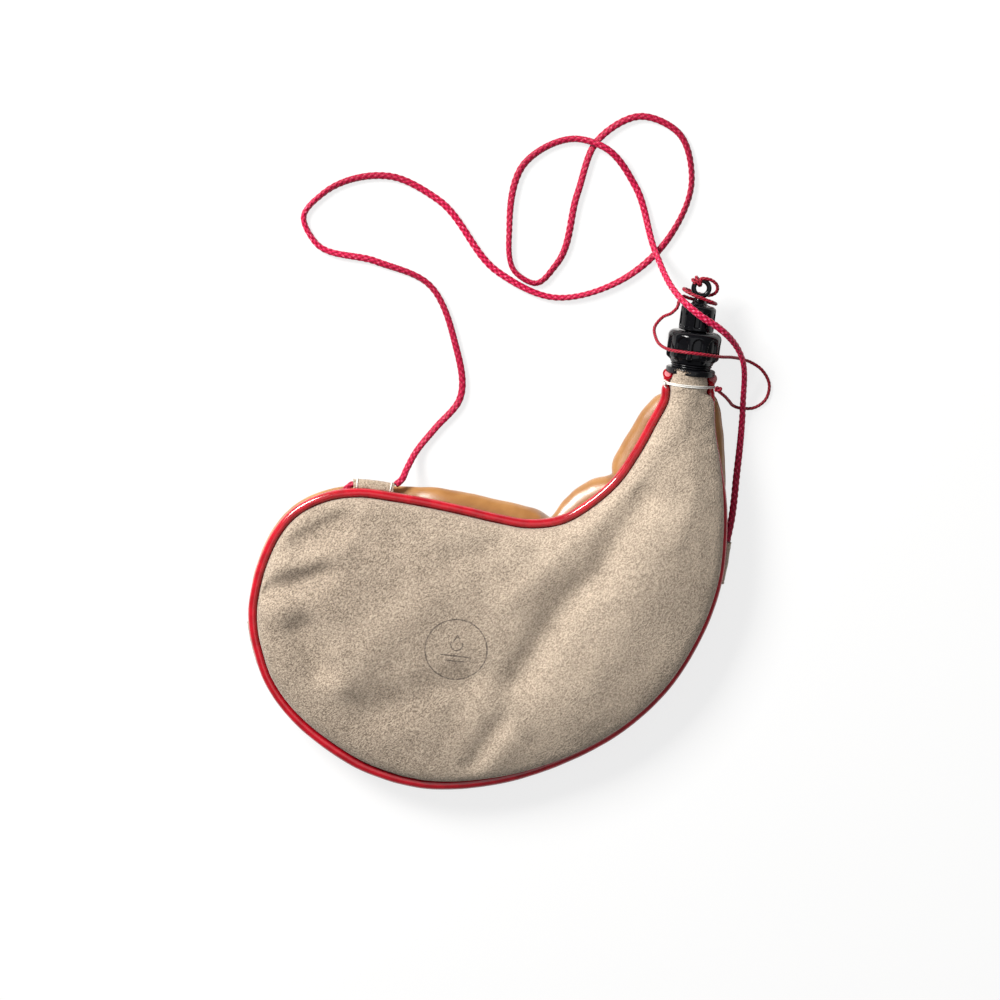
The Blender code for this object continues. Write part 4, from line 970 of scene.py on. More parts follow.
def strand_height(across, along, strands):
    """The height of a plaited surface, from zero between strands to one on top of them."""
    first = (across + along) * strands
    second = (across - along) * strands
    first_on_top = (math.floor(first) + math.floor(second)) % 2 == 0
    wide, long = (first, second) if first_on_top else (second, first)
    return abs(math.sin(math.pi * wide)) ** 0.7 * (0.55 + 0.45 * abs(math.sin(math.pi * long)))


def add_plaited(name, path, half_width, half_thick, material, body, pitch=14.4 * MM, strands=4,
                sides=28, relief=0.42 * MM, roll=None, painted_light_shares=((0, 0.3),)):
    """A plaited cord: a flattened tube whose surface rises and dips as its strands cross."""
    points = []
    heights = []
    yarns = []
    painted_lights = []
    travelled = 0.0
    for i, (point, (ahead, side, up)) in enumerate(zip(path, level_frames(path))):
        if i:
            travelled += (point - path[i - 1]).length
        tilt = roll(travelled) if roll else 0.0
        wide = side * math.cos(tilt) + up * math.sin(tilt)
        tall = up * math.cos(tilt) - side * math.sin(tilt)
        # The painted light share here; with none given, the cord is painted rather shaded.
        gloss = share_at(painted_light_shares, i / (len(path) - 1))
        for j in range(sides):
            angle = 2 * math.pi * j / sides
            height = strand_height(j / sides, travelled / pitch, strands)
            sink = relief * (1 - height)
            points.append(point + wide * ((half_width - sink) * math.cos(angle))
                          + tall * ((half_thick - sink) * math.sin(angle)))
            heights.append(height)
            painted_lights.append(gloss)
            yarns.append(0.5 + 0.5 * math.sin(2 * math.pi * (j / sides * 34 + travelled / (0.45 * MM))))
    faces = grid_faces(len(path), sides, closed=True)
    last = (len(path) - 1) * sides
    faces.append(tuple(range(sides - 1, -1, -1)))
    faces.append(tuple(range(last, last + sides)))
    cord = new_piece(name, points, faces, material, body)
    carry(cord, "braid_height", heights)
    carry(cord, "yarn", yarns)
    carry(cord, "gloss", painted_lights)
    return cord


def add_twisted(name, path, radius, material, body, plies=3, lay=4.2 * MM, sides=15, relief=0.22,
                step_yarn=0.5 * MM):
    """A twisted cord or thread: a tube with as many rounded plies winding round it."""
    frames = frames_along(path)
    points = []
    heights = []
    yarns = []
    travelled = 0.0
    for i, (point, (ahead, side, up)) in enumerate(zip(path, frames)):
        if i:
            travelled += (point - path[i - 1]).length
        for j in range(sides):
            angle = 2 * math.pi * j / sides
            ply = abs(math.cos(plies / 2 * (angle - 2 * math.pi * travelled / lay / plies * 2)))
            reach = radius * (1 - relief * (1 - ply))
            points.append(point + side * (reach * math.cos(angle)) + up * (reach * math.sin(angle)))
            heights.append(ply)
            yarns.append(0.5 + 0.5 * math.sin(2 * math.pi * travelled / step_yarn + 3 * angle))
    faces = grid_faces(len(path), sides, closed=True)
    last = (len(path) - 1) * sides
    faces.append(tuple(range(sides - 1, -1, -1)))
    faces.append(tuple(range(last, last + sides)))
    cord = new_piece(name, points, faces, material, body)
    carry(cord, "braid_height", heights)
    carry(cord, "yarn", yarns)
    return cord


def above_table(route, radius):
    """A route in the neck's frame, kept a radius above the table."""
    return [Vector((x * MM, y * MM, max(z * MM, radius) + TABLE)) for x, y, z in route]


CORD_HALF_WIDTH = 2.05 * MM
CORD_HALF_THICK = 1.6 * MM
CORD_STEP = 0.62 * MM


def cord_roll(travelled):
    """How a flat cord turns on itself along its way."""
    return 0.75 * math.sin(travelled * 21) + 0.5 * math.sin(travelled * 47 + 1.3)


def add_shoulder_cord():
    """The free stretch of the shoulder cord, from its top loop round to its right loop."""
    path = evenly_spaced(above_table(SHOULDER_CORD_ROUTE, CORD_RADIUS), CORD_STEP)
    for point in path:
        point.z = max(point.z, TABLE + CORD_HALF_WIDTH)
    cord = add_plaited("shoulder_cord_braid", path, CORD_HALF_WIDTH, CORD_HALF_THICK, CORD_BRAID,
                       "bag", roll=cord_roll, painted_light_shares=CORD_PAINTED_LIGHT_SHARES)
    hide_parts("shoulder_cord")
    NECK + path[0]
    [p + NECK for p in path]


def cord_seat(place):
    """How far out and how far down the cord lies at a place along the seam."""
    out, down = CORD_TUCK_OUT, CORD_TUCK_DOWN
    for name, start, end, tab_out, tab_down in TABS:
        away = max(start - place, place - end, 0) / TAB_EASE_SHARE
        if away < 1:
            hold = (1 + math.cos(math.pi * away)) / 2
            out += (tab_out - CORD_TUCK_OUT) * hold
            down += (tab_down - CORD_TUCK_DOWN) * hold
    return out, down


def held_cord_at(place):
    out, down = cord_seat(place)
    return curve_at(FLAT_SEAM, place) - inward_along(FLAT_SEAM, place) * out - Vector((0, 0, down))


def add_held_cord():
    """The shoulder cord where it runs through its loops, under the piping."""
    start, end = TABS[0][1], TABS[-1][2]
    fine = [held_cord_at(start + (end - start) * i / 400) for i in range(401)]
    path = evenly_spaced(fine, CORD_STEP)
    cord = add_plaited("shoulder_cord_held_braid", path, CORD_RADIUS, CORD_HALF_THICK, CORD_BRAID,
                       "bag")
    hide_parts("shoulder_cord_held")


TAB_THICKNESS = 0.85 * MM
TAB_GAP = 0.1 * MM
TAB_SIDES = 40
TAB_RINGS = 44


def add_tab(name, start, end):
    """A suede loop round the cord, its two plies pressed together under the piping."""
    points = []
    for i in range(TAB_RINGS):
        share = i / (TAB_RINGS - 1)
        place = start + (end - start) * share
        centre = held_cord_at(place)
        inward = inward_at(place)
        along = Vector((-inward.y, inward.x, 0))
        end_here = 1 if share > 0.5 else -1
        near_end = eased((abs(share - 0.5) - 0.44) / 0.06)
        for j in range(TAB_SIDES):
            angle = 2 * math.pi * j / TAB_SIDES
            direction = inward * math.cos(angle) + Vector((0, 0, math.sin(angle)))
            reach = CORD_HALF_THICK + TAB_GAP + 0.2 * MM + TAB_THICKNESS
            toward_seam = max(0.0, math.cos(angle - math.radians(35)))
            reach += 0.75 * MM * toward_seam ** 4
            reach += 0.22 * MM * ripple(centre + direction * 0.004, 420, 7.7)
            reach += 0.35 * MM * near_end * (0.4 + ripple(centre + direction * 0.004, 900, 1.9))
            torn = 0.55 * MM * near_end * ripple(direction * 0.004, 1500, 2.0 + 3 * end_here)
            points.append(centre + direction * reach - along * (torn * end_here))
    faces = grid_faces(TAB_RINGS, TAB_SIDES, closed=True)
    tab = new_piece(name + "_suede", points, faces, TAB_SUEDE)
    thicken(tab, TAB_THICKNESS)
    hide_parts(name)


STITCH_RADIUS = 0.42 * MM


def add_tab_stitches():
    """White thread over both ends of the top loop."""
    name, start, end, out, down = TABS[0]
    reach = CORD_HALF_THICK + TAB_GAP + TAB_THICKNESS + 0.45 * MM
    for label, place in (("near", start + 0.07 * (end - start)), ("far", end - 0.10 * (end - start))):
        centre = held_cord_at(place)
        inward = inward_at(place)
        route = []
        for step in range(9):
            angle = math.radians(-55 + 190 * step / 8) + math.pi / 2
            lean = Vector((-inward.y, inward.x, 0)) * (0.5 * MM * (step / 8 - 0.5))
            route.append(centre - inward * (reach * -math.cos(angle)) + Vector((0, 0, reach * math.sin(angle)))
                         + lean)
        add_twisted("tab_stitch_" + label, evenly_spaced(route, 0.3 * MM), STITCH_RADIUS, WAXED_THREAD,
                    "bag", plies=2, lay=2.4 * MM, sides=10)


def add_tether():
    """The thin cord from the neck to the stopper. Its end lies inside the hitch."""
    route = above_table(TETHER_ROUTE, TETHER_RADIUS)
    path = evenly_spaced(route, 0.55 * MM)
    start = Vector(HITCH_ROUTE[0]) * MM
    ahead = (Vector(HITCH_ROUTE[1]) * MM - start).normalized()
    path += evenly_spaced([path[-1], start, start + ahead * (TETHER_TAIL / 2),
                           start + ahead * TETHER_TAIL], 0.55 * MM)[1:]
    cord = add_twisted("tether_cord", path, TETHER_RADIUS * 0.94, TETHER_BRAID, None)
    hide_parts("tether")
    NECK + path[0]
    [p + NECK for p in path]
    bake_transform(cord)


def ring_wraps():
    """The two last wraps, which wind round the ring's wire."""
    points = []
    for i in range(WRAP_STEPS + 1):
        share = i / WRAP_STEPS
        turn = WRAP_START + (WRAP_END - WRAP_START) * share
        wind = math.radians(70) + WRAP_TURN * share
        reach = RING_RADIUS + WRAP_REACH * math.cos(wind)
        points.append(Vector((reach * math.cos(turn), RING_HEIGHT + reach * math.sin(turn),
                              1.1 * WRAP_REACH * math.sin(wind))))
    return points


def add_hitch():
    """The tether's wraps round the stem and through the ring, which turn with the stopper."""
    path = evenly_spaced([Vector(point) * MM for point in HITCH_ROUTE] + ring_wraps(), 0.45 * MM)
    hitch = add_twisted("tether_hitch_wraps", path, TETHER_RADIUS, TETHER_BRAID, "stopper")
    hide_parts("tether_hitch")


KNOT_PLACE = (16.2, -7.0, 2.6)


def knot_path(centre, size, turn, count=72):
    """A closed overhand knot, drawn tight round a centre."""
    result = []
    for i in range(count):
        t = 2 * math.pi * i / count
        x = math.sin(t) + 2 * math.sin(2 * t)
        y = math.cos(t) - 2 * math.cos(2 * t)
        z = -1.6 * math.sin(3 * t)
        result.append(centre + turn @ (Vector((x, y, z)) * size))
    return result


def add_end_knot():
    """The tether's stopper knot beside the neck's right seam."""
    centre = Vector(KNOT_PLACE) * MM
    turn = Matrix.Rotation(math.radians(70), 3, 'X')
    path = knot_path(centre, 0.50 * MM, turn)
    knot = add_twisted("tether_end_knot", path, TETHER_RADIUS * 0.85, TETHER_BRAID, "bag")
    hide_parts("tether_knot")


THREAD_RADIUS = 0.38 * MM
THREAD_PITCH = 0.8 * MM
THREAD_TURNS = 2


def hull_of(points):
    """The convex outline of flat points, in order."""
    points = sorted(set(points))

    def half(ordered):
        chain = []
        for p in ordered:
            while len(chain) > 1 and ((chain[-1][0] - chain[-2][0]) * (p[1] - chain[-2][1])
                                      - (chain[-1][1] - chain[-2][1]) * (p[0] - chain[-2][0])) <= 0:
                chain.pop()
            chain.append(p)
        return chain[:-1]
    return half(points) + half(points[::-1])


def neck_outline(pieces, height):
    """The taut outline round the neck's pieces at a height along the spout."""
    graph = bpy.context.evaluated_depsgraph_get()
    found = []
    for piece in pieces:
        tree = BVHTree.FromObject(piece, graph)
        for i in range(120):
            angle = 2 * math.pi * i / 120
            direction = Vector((math.cos(angle), 0, math.sin(angle)))
            origin = NECK + Vector((0, height, 0)) + direction * (30 * MM)
            hit = tree.ray_cast(origin, -direction, 30 * MM)
            if hit[0] is not None:
                local = hit[0] - NECK
                found.append((round(local.x, 6), round(local.z, 6)))
    return hull_of(found)


def outline_point(outline, angle):
    """Where a ray from the spout's axis leaves a convex outline."""
    direction = (math.cos(angle), math.sin(angle))
    best = 0.0
    for (ax, az), (bx, bz) in zip(outline, outline[1:] + outline[:1]):
        ex, ez = bx - ax, bz - az
        cross = direction[0] * ez - direction[1] * ex
        if abs(cross) > 1e-12:
            reach = (ax * ez - az * ex) / cross
            share = (ax * direction[1] - az * direction[0]) / cross
            if reach > 0 and -0.001 <= share <= 1.001:
                best = max(best, reach)
    return best


def add_neck_thread(pieces):
    """White thread wound twice round the neck, tight on whatever lies under it."""
    path = []
    steps = THREAD_TURNS * 90
    outlines = [neck_outline(pieces, -NECK_THREAD_DEPTH + THREAD_PITCH * k) for k in (-1, 0, 1)]
    for i in range(steps + 1):
        angle = math.radians(158) - 2 * math.pi * THREAD_TURNS * i / steps
        height = THREAD_PITCH * (i / 90 - THREAD_TURNS / 2)
        reach = max(outline_point(outline, angle) for outline in outlines) + 0.75 * THREAD_RADIUS
        path.append(Vector((reach * math.cos(angle), height - NECK_THREAD_DEPTH, reach * math.sin(angle))))
    thread = add_twisted("neck_thread", evenly_spaced(path[::3], 0.35 * MM), THREAD_RADIUS,
                         WAXED_THREAD, "bag", plies=3, lay=2.6 * MM, sides=12)
    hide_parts("neck_binding")
    return path[0]


def add_thread_knot(place):
    """The knot of the neck's thread on its left front, with two short tails."""
    centre = place + Vector((-0.2 * MM, 0.6 * MM, 0.9 * MM))
    turn = Matrix.Rotation(math.radians(-40), 3, 'Y') @ Matrix.Rotation(math.radians(25), 3, 'Z')
    add_twisted("thread_knot", knot_path(centre, 0.40 * MM, turn), THREAD_RADIUS, WAXED_THREAD,
                "bag", plies=3, lay=2.6 * MM, sides=12)
    for label, steps in (("up", [(0, 0, 0), (0.8, 0.6, 0.6), (1.9, 0.4, 0.9), (2.6, -0.7, 0.8)]),
                         ("down", [(0, 0, 0), (-0.2, -1.2, 0.5), (0.7, -2.3, 0.4), (1.3, -2.9, 0.2)])):
        route = [centre + Vector(step) * MM for step in steps]
        add_twisted("thread_tail_" + label, evenly_spaced(route, 0.3 * MM), THREAD_RADIUS * 0.8,
                    WAXED_THREAD, "bag", plies=3, lay=2.6 * MM, sides=10)


# The spout's sizes, with heights along its axis
COLLAR_BORE_RADIUS = 5.4 * MM
SHANK_RADIUS = 7.0 * MM
SHANK_END = -9.4 * MM
FLANGE_RADIUS = 13.5 * MM
FLANGE_BOTTOM = -0.8 * MM
FLANGE_TOP = 2.6 * MM
COLLAR_CORE_RADIUS = 8.9 * MM
COLLAR_THREAD_DEPTH = 0.8 * MM
COLLAR_THREAD_PITCH = 2.4 * MM
COLLAR_THREAD_BOTTOM = 8.4 * MM
COLLAR_RING_RADIUS = 11.3 * MM
CAP_RADIUS = 14.6 * MM
CAP_BOTTOM = 5.2 * MM
CAP_TOP = 22.9 * MM
CAP_CEILING = 16.8 * MM
CAP_SKIRT_RADIUS = 11.7 * MM
NOZZLE_TOP = 33.0 * MM
NOZZLE_CORE_RADIUS = 5.6 * MM
NOZZLE_BORE_RADIUS = 2.6 * MM
NOZZLE_JET_RADIUS = 1.1 * MM
NOZZLE_THREAD_DEPTH = 0.7 * MM
NOZZLE_THREAD_PITCH = 2.2 * MM
NOZZLE_THREAD_BOTTOM = 26.0 * MM
THREAD_CLEARANCE = 0.45 * MM
MOUTH_RADIUS = COLLAR_CORE_RADIUS + COLLAR_THREAD_DEPTH + THREAD_CLEARANCE
NOZZLE_MOUTH_RADIUS = NOZZLE_CORE_RADIUS + NOZZLE_THREAD_DEPTH + THREAD_CLEARANCE
STOPPER_RADIUS = 9.6 * MM
STOPPER_BOTTOM = 23.4 * MM
STOPPER_SHOULDER = 37.2 * MM
STOPPER_CEILING = 34.6 * MM
STEM_RADIUS = 3.2 * MM
STEM_TOP = 41.8 * MM
RING_RADIUS = 4.2 * MM
RING_WIRE_RADIUS = 1.4 * MM
RING_HEIGHT = STEM_TOP + RING_RADIUS + 0.6 * MM
TURN_STEPS = 180
FLUTE_COUNT = 10


def arc(centre_radius, centre_height, radius, start, end, steps=6):
    """Points of a rounded edge, between two angles measured up from level."""
    result = []
    for i in range(steps + 1):
        angle = math.radians(start + (end - start) * i / steps)
        result.append((centre_radius + radius * math.cos(angle), centre_height + radius * math.sin(angle)))
    return result


def rows_between(radius, top, bottom, step=0.28 * MM):
    """A straight wall cut into rows, top to bottom."""
    count = max(1, round(abs(top - bottom) / step))
    return [(radius, top + (bottom - top) * i / count) for i in range(count + 1)]


def thread_ridge(angle, height, pitch):
    """A right-hand thread with a flat crest: zero at its root and one on top."""
    phase = (height / pitch - angle / (2 * math.pi)) % 1.0
    return eased(1.35 * (1 - abs(2 * phase - 1)) - 0.1)


def thread_fade(height, bottom, pitch):
    """Zero at both ends of two turns of thread and one along them."""
    end = min(height - bottom, bottom + 2 * pitch - height)
    return min(max(end / (pitch / 2), 0.0), 1.0)


def turned_piece(name, profile, shape_radius, material, body):
    """A profile turned about the spout's axis, whose radius a function may change."""
    closed = profile[0][0] > 0
    points = []
    index = []
    for radius, height in profile:
        if radius == 0:
            index.append([len(points)] * TURN_STEPS)
            points.append(Vector((0, height, 0)))
            continue
        index.append(list(range(len(points), len(points) + TURN_STEPS)))
        for j in range(TURN_STEPS):
            angle = 2 * math.pi * j / TURN_STEPS
            reach = shape_radius(angle, height, radius)
            points.append(Vector((reach * math.cos(angle), height, -reach * math.sin(angle))))
    faces = []
    rings = list(zip(index, index[1:])) + ([(index[-1], index[0])] if closed else [])
    for upper, lower in rings:
        for j in range(TURN_STEPS):
            k = (j + 1) % TURN_STEPS
            face = []
            for corner in (upper[j], lower[j], lower[k], upper[k]):
                if corner not in face:
                    face.append(corner)
            faces.append(tuple(face))
    return new_piece(name, points, faces, material, body, sharp=38)


def add_collar():
    """The spout's base: shank, flange, stacked rings and thread round one bore."""
    profile = arc(COLLAR_CORE_RADIUS - 0.5 * MM, COLLAR_TOP - 0.5 * MM, 0.5 * MM, 90, 0)
    profile += rows_between(COLLAR_CORE_RADIUS, COLLAR_TOP - 0.7 * MM, 6.4 * MM)
    profile += arc(COLLAR_RING_RADIUS - 0.55 * MM, 4.35 * MM, 0.55 * MM, 80, -80)
    profile += arc(COLLAR_RING_RADIUS - 0.95 * MM, 3.15 * MM, 0.5 * MM, 70, -70)
    profile += arc(FLANGE_RADIUS - 0.9 * MM, FLANGE_TOP - 0.9 * MM, 0.9 * MM, 90, 0)
    profile += arc(FLANGE_RADIUS - 0.6 * MM, FLANGE_BOTTOM + 0.6 * MM, 0.6 * MM, 0, -90)
    profile += [(SHANK_RADIUS + 0.4 * MM, FLANGE_BOTTOM), (SHANK_RADIUS, FLANGE_BOTTOM - 0.4 * MM)]
    profile += [(SHANK_RADIUS, SHANK_END + 0.5 * MM), (SHANK_RADIUS - 0.5 * MM, SHANK_END)]
    profile += [(COLLAR_BORE_RADIUS, SHANK_END), (COLLAR_BORE_RADIUS, COLLAR_TOP)]

    def radius_at(angle, height, radius):
        if abs(radius - COLLAR_CORE_RADIUS) > 0.01 * MM:
            return radius
        fade = thread_fade(height, COLLAR_THREAD_BOTTOM, COLLAR_THREAD_PITCH)
        return radius + COLLAR_THREAD_DEPTH * fade * thread_ridge(angle, height, COLLAR_THREAD_PITCH)

    collar = turned_piece("spout_base", profile, radius_at, COLLAR_PLASTIC, "bag")
    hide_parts("spout_collar")


def flute_depth(angle, height, bottom, top, half_width, soft):
    """How deep the surface is scooped: one in a flute with an arched top, zero beside it."""
    turn = 2 * math.pi / FLUTE_COUNT
    away = abs((angle - FLUTE_PHASE + turn / 2) % turn - turn / 2) / half_width
    arch = top - (top - bottom) * 0.42 * (1 - math.sqrt(max(0.0, 1 - min(away, 1.0) ** 2)))
    side = eased((1 - away) / soft)
    end = eased((arch - height) / (0.9 * MM))
    return side * end * eased((height - bottom) / (0.7 * MM))


FLUTE_PHASE = math.radians(-90 + 7)
CAP_FLUTE_BOTTOM = 8.2 * MM
CAP_FLUTE_TOP = 20.2 * MM
CAP_FLUTE_DEPTH = 1.25 * MM
CAP_RIB_LIFT = 0.30 * MM


def add_cap():
    """The big fluted cap: rounded shoulder, arched flutes, thread inside and nozzle above."""
    profile = arc(NOZZLE_CORE_RADIUS - 0.8 * MM, NOZZLE_TOP - 0.8 * MM, 0.8 * MM, 90, 0)
    profile += rows_between(NOZZLE_CORE_RADIUS, NOZZLE_TOP - 1.0 * MM, CAP_TOP + 0.4 * MM)
    profile += [(NOZZLE_CORE_RADIUS + 0.3 * MM, CAP_TOP), (CAP_RADIUS - 4.4 * MM, CAP_TOP)]
    profile += arc(CAP_RADIUS - 3.4 * MM, CAP_TOP - 3.4 * MM, 3.4 * MM, 84, 0, 12)
    profile += rows_between(CAP_RADIUS, CAP_TOP - 3.6 * MM, 9.6 * MM)
    profile += arc(CAP_RADIUS - 2.2 * MM, 9.4 * MM, 2.2 * MM, 0, -55, 6)
    profile += [(CAP_SKIRT_RADIUS + 0.2 * MM, 6.3 * MM)]
    profile += arc(CAP_SKIRT_RADIUS - 0.4 * MM, CAP_BOTTOM + 0.4 * MM, 0.4 * MM, 0, -90, 4)
    profile += [(MOUTH_RADIUS + 0.1 * MM, CAP_BOTTOM)]
    profile += rows_between(MOUTH_RADIUS, CAP_BOTTOM + 0.2 * MM, CAP_CEILING)
    profile += [(NOZZLE_BORE_RADIUS, CAP_CEILING), (NOZZLE_BORE_RADIUS, NOZZLE_TOP - 3.2 * MM),
                (NOZZLE_JET_RADIUS, NOZZLE_TOP - 1.6 * MM), (NOZZLE_JET_RADIUS, NOZZLE_TOP)]

    def radius_at(angle, height, radius):
        if abs(radius - NOZZLE_CORE_RADIUS) < 0.01 * MM:
            fade = thread_fade(height, NOZZLE_THREAD_BOTTOM, NOZZLE_THREAD_PITCH)
            return radius + NOZZLE_THREAD_DEPTH * fade * thread_ridge(angle, height, NOZZLE_THREAD_PITCH)
        if abs(radius - MOUTH_RADIUS) < 0.01 * MM:
            fade = thread_fade(height, COLLAR_THREAD_BOTTOM, COLLAR_THREAD_PITCH)
            return radius - COLLAR_THREAD_DEPTH * fade * (1 - thread_ridge(angle, height,
                                                                          COLLAR_THREAD_PITCH))
        if radius > CAP_SKIRT_RADIUS + 0.05 * MM and height < CAP_TOP - 0.4 * MM:
            scoop = flute_depth(angle, height, CAP_FLUTE_BOTTOM - 1.6 * MM, CAP_FLUTE_TOP,
                                math.radians(14.5), 0.28)
            return radius - CAP_FLUTE_DEPTH * scoop
        return radius

    cap = turned_piece("fluted_cap", profile, radius_at, CAP_PLASTIC, "cap")
    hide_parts("nozzle_cap")


STOPPER_FLUTE_BOTTOM = 25.0 * MM
STOPPER_FLUTE_TOP = 34.2 * MM
STOPPER_FLUTE_DEPTH = 0.95 * MM


def add_stopper():
    """The small fluted cap with its stem and the ring that the tether runs through."""
    profile = [(0, STEM_TOP), (STEM_RADIUS - 0.6 * MM, STEM_TOP)]
    profile += [(STEM_RADIUS - 0.1 * MM, STEM_TOP - 0.5 * MM), (STEM_RADIUS, STEM_TOP - 1.4 * MM)]
    profile += [(STEM_RADIUS + 0.5 * MM, STOPPER_SHOULDER + 1.9 * MM),
                (STEM_RADIUS + 1.3 * MM, STOPPER_SHOULDER + 0.7 * MM),
                (STOPPER_RADIUS - 3.6 * MM, STOPPER_SHOULDER + 0.15 * MM)]
    profile += arc(STOPPER_RADIUS - 2.3 * MM, STOPPER_SHOULDER - 2.3 * MM, 2.3 * MM, 80, 0, 10)
    profile += rows_between(STOPPER_RADIUS, STOPPER_SHOULDER - 2.5 * MM, STOPPER_BOTTOM + 1.1 * MM)
    profile += arc(STOPPER_RADIUS - 0.7 * MM, STOPPER_BOTTOM + 0.7 * MM, 0.7 * MM, 0, -90, 4)
    profile += [(NOZZLE_MOUTH_RADIUS + 0.1 * MM, STOPPER_BOTTOM)]
    profile += rows_between(NOZZLE_MOUTH_RADIUS, STOPPER_BOTTOM + 0.2 * MM, STOPPER_CEILING)
    profile += [(0, STOPPER_CEILING)]

    def radius_at(angle, height, radius):
        if abs(radius - NOZZLE_MOUTH_RADIUS) < 0.01 * MM:
            fade = thread_fade(height, NOZZLE_THREAD_BOTTOM, NOZZLE_THREAD_PITCH)
            return radius - NOZZLE_THREAD_DEPTH * fade * (1 - thread_ridge(angle, height,
                                                                          NOZZLE_THREAD_PITCH))
        if radius > STOPPER_RADIUS - 1.5 * MM and height < STOPPER_SHOULDER - 1.2 * MM:
            scoop = flute_depth(angle + math.radians(9), height, STOPPER_FLUTE_BOTTOM,
                                STOPPER_FLUTE_TOP, math.radians(9.5), 0.35)
            return radius - STOPPER_FLUTE_DEPTH * scoop
        return radius

    stopper = turned_piece("fluted_stopper", profile, radius_at, CAP_PLASTIC, "stopper")
    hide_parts("stopper")
    points = []
    for i in range(64):
        turn = 2 * math.pi * i / 64
        for j in range(20):
            angle = 2 * math.pi * j / 20
            reach = RING_RADIUS + RING_WIRE_RADIUS * math.copysign(abs(math.cos(angle)) ** 0.8,
                                                                  math.cos(angle))
            level = RING_WIRE_RADIUS * 1.15 * math.copysign(abs(math.sin(angle)) ** 0.8, math.sin(angle))
            points.append(Vector((reach * math.cos(turn), RING_HEIGHT + reach * math.sin(turn), level)))
    faces = grid_faces(65, 20, closed=True, flip=True)
    faces = [tuple(corner % len(points) for corner in face) for face in faces]
    new_piece("stopper_ring", points, faces, CAP_PLASTIC, "stopper")


def paint_seals():
    for name in ("nozzle_washer", "stopper_seal"):
        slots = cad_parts[name].data.materials
        slots.clear()
        slots.append(RUBBER)


FIBRE_COUNT = 150
FIBRE_RADIUS = 0.07 * MM


def add_torn_fibres():
    """Loose fibres along the suede's torn edge at the neck."""
    points = []
    faces = []
    edge = front_section(0.0)[8:-8]
    for i in range(FIBRE_COUNT):
        spread = noise.random_unit_vector()
        at = edge[int((i + 0.5) / FIBRE_COUNT * len(edge))]
        if abs(at.x) > 0.72 * NECK_HALF_WIDTH:
            continue
        root = at + torn_lift(at) + Vector((spread.x * 0.5 * MM, 0.5 * MM, 0.1 * MM))
        lean = Vector((spread.x * 0.7, 1.0 + 0.4 * spread.y, 0.45 + 0.5 * spread.z)).normalized()
        long = (0.9 + 0.8 * abs(spread.z)) * MM
        side = lean.cross(Vector((0, 0, 1))).normalized()
        up = side.cross(lean)
        first = len(points)
        for share, thick in ((0.0, 1.0), (0.5, 0.8), (1.0, 0.25)):
            middle = root + lean * (long * share) + up * (0.3 * MM * share * share * spread.y)
            for k in range(3):
                angle = 2 * math.pi * k / 3
                points.append(middle + (side * math.cos(angle) + up * math.sin(angle)) * (FIBRE_RADIUS * thick))
        for ring in range(2):
            for k in range(3):
                a, b = first + 3 * ring + k, first + 3 * ring + (k + 1) % 3
                faces.append((a, b, b + 3, a + 3))
        faces.append((first + 2, first + 1, first))
        faces.append((first + 6, first + 7, first + 8))
    new_piece("torn_suede_fibres", points, faces, TAB_SUEDE)


noise.seed_set(7)
suede_front = add_suede_front()
tan_back = add_tan_back()
add_liner()
piping = add_piping()
add_piping_cores()
add_shoulder_cord()
add_held_cord()
for tab_name, tab_start, tab_end, tab_out, tab_down in TABS:
    add_tab(tab_name, tab_start, tab_end)
add_tab_stitches()
add_end_knot()
add_tether()
add_hitch()
bpy.context.view_layer.update()
thread_start = add_neck_thread([suede_front, tan_back, piping])
add_thread_knot(thread_start)
add_collar()
add_cap()
add_stopper()
paint_seals()
add_torn_fibres()

# The camera looks down on the bag from far off, a little from beyond its spout
PHOTO_SIDE = 1000
PIXEL = 0.549 * MM
CAMERA_DISTANCE = 2.0
SENSOR = 36.0
TILT = math.radians(8.0)
ROLL = math.radians(7.15)
VIEW_CENTRE = Vector((1.0, 16.1, 20.0)) * MM

camera_data = bpy.data.cameras.new("camera")
camera_data.sensor_width = SENSOR
camera_data.lens = SENSOR * CAMERA_DISTANCE / (PHOTO_SIDE * PIXEL)
camera_data.clip_end = 20.0
camera = bpy.data.objects.new("camera", camera_data)
bpy.context.scene.collection.objects.link(camera)
right = Vector((math.cos(ROLL), math.sin(ROLL), 0))
level_up = Vector((-math.sin(ROLL), math.cos(ROLL), 0))
back_way = (level_up * math.sin(TILT) + Vector((0, 0, math.cos(TILT)))).normalized()
picture_up = back_way.cross(right)
camera.matrix_world = Matrix.Translation(VIEW_CENTRE + back_way * CAMERA_DISTANCE) @ Matrix((
    right, picture_up, back_way)).transposed().to_4x4()
bpy.context.scene.camera = camera


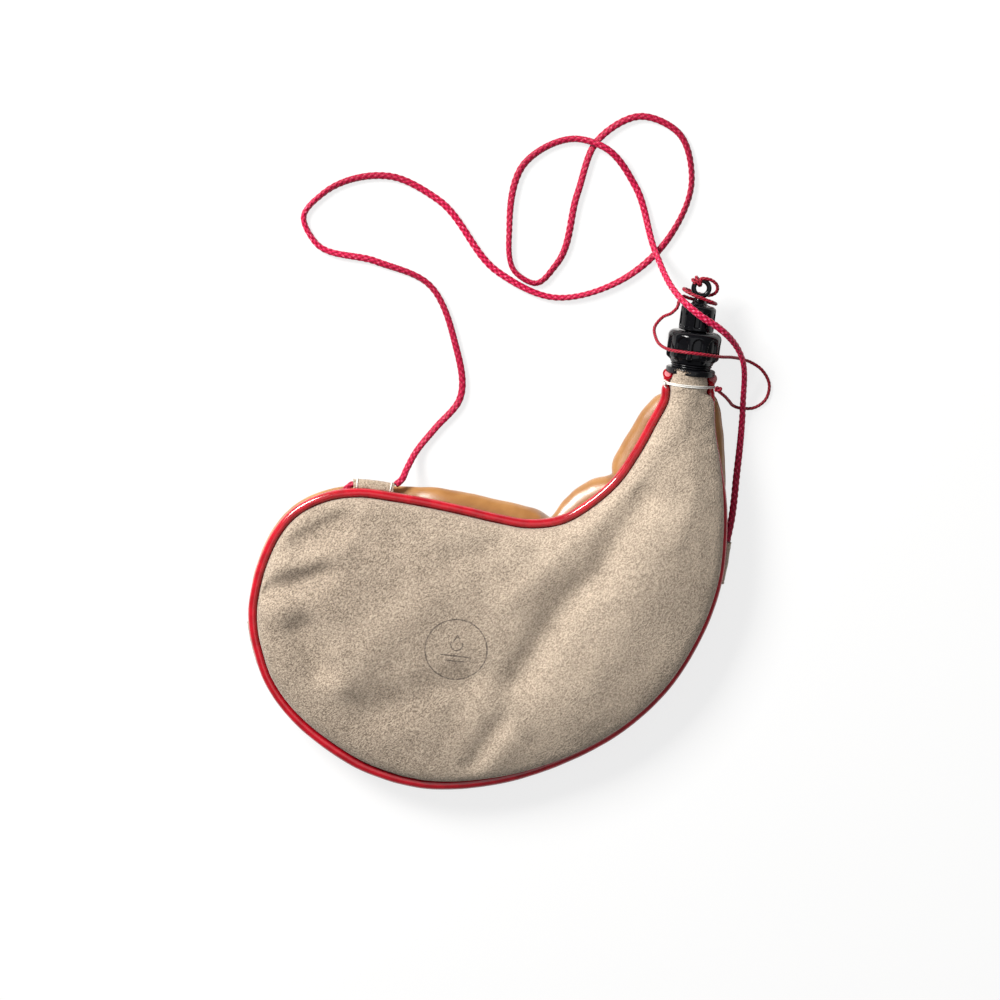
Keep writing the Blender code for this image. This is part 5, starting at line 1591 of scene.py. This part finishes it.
def add_lamp(name, place, aim, size, watts, colour):
    lamp_data = bpy.data.lights.new(name, 'AREA')
    lamp_data.shape = 'SQUARE'
    lamp_data.size = size
    lamp_data.energy = watts
    lamp_data.color = colour
    lamp = bpy.data.objects.new(name, lamp_data)
    bpy.context.scene.collection.objects.link(lamp)
    lamp.location = place
    lamp.rotation_euler = (Vector(aim) - Vector(place)).to_track_quat('-Z', 'Y').to_euler()


add_lamp("window", (-1.05, 0.85, 1.05), (0, 0, 0), 0.6, 52.0, (1.0, 0.985, 0.96))
add_lamp("ceiling", (0.2, 0.2, 1.9), (0, 0, 0), 1.6, 6.0, (0.97, 0.985, 1.0))

world = bpy.data.worlds.new("studio")
world.use_nodes = True
world.node_tree.nodes["Background"].inputs["Color"].default_value = (0.95, 0.97, 1.0, 1.0)
world.node_tree.nodes["Background"].inputs["Strength"].default_value = 0.15
bpy.context.scene.world = world

FLOOR_HALF = 6.0
floor_mesh = bpy.data.meshes.new("floor")
floor_mesh.from_pydata([(-FLOOR_HALF, -FLOOR_HALF, 0), (FLOOR_HALF, -FLOOR_HALF, 0),
                        (FLOOR_HALF, FLOOR_HALF, 0), (-FLOOR_HALF, FLOOR_HALF, 0)], [], [(0, 1, 2, 3)])
floor = bpy.data.objects.new("floor", floor_mesh)
bpy.context.scene.collection.objects.link(floor)
floor.location.z = -0.2 * MM
FLOOR_GLOW = 0.78


def white_floor_finish():
    """A matt white floor that also glows white where it is seen, which keeps its shadow faint."""
    white = Finish("white_floor")
    white.finish(base_color=(0.90, 0.90, 0.90, 1.0), roughness=0.9)
    ray = "ShaderNodeLightPath"
    seen = white.add(ray, output=0) + white.add(ray, output=4) + white.add(ray, output=6)
    glow = white.add("ShaderNodeEmission", {}, {"Color": (1.0, 1.0, 1.0, 1.0), "Strength": 1.0})
    matt = Value(white, white.shader.outputs[0])
    mixed = white.add("ShaderNodeMixShader", {}, {0: (seen * FLOOR_GLOW).least(FLOOR_GLOW), 1: matt,
                                                  2: glow})
    end = white.tree.nodes["Material Output"]
    white.join(end.inputs["Surface"], mixed)
    return white.material


floor_mesh.materials.append(white_floor_finish())

bpy.context.scene.view_settings.view_transform = 'Standard'
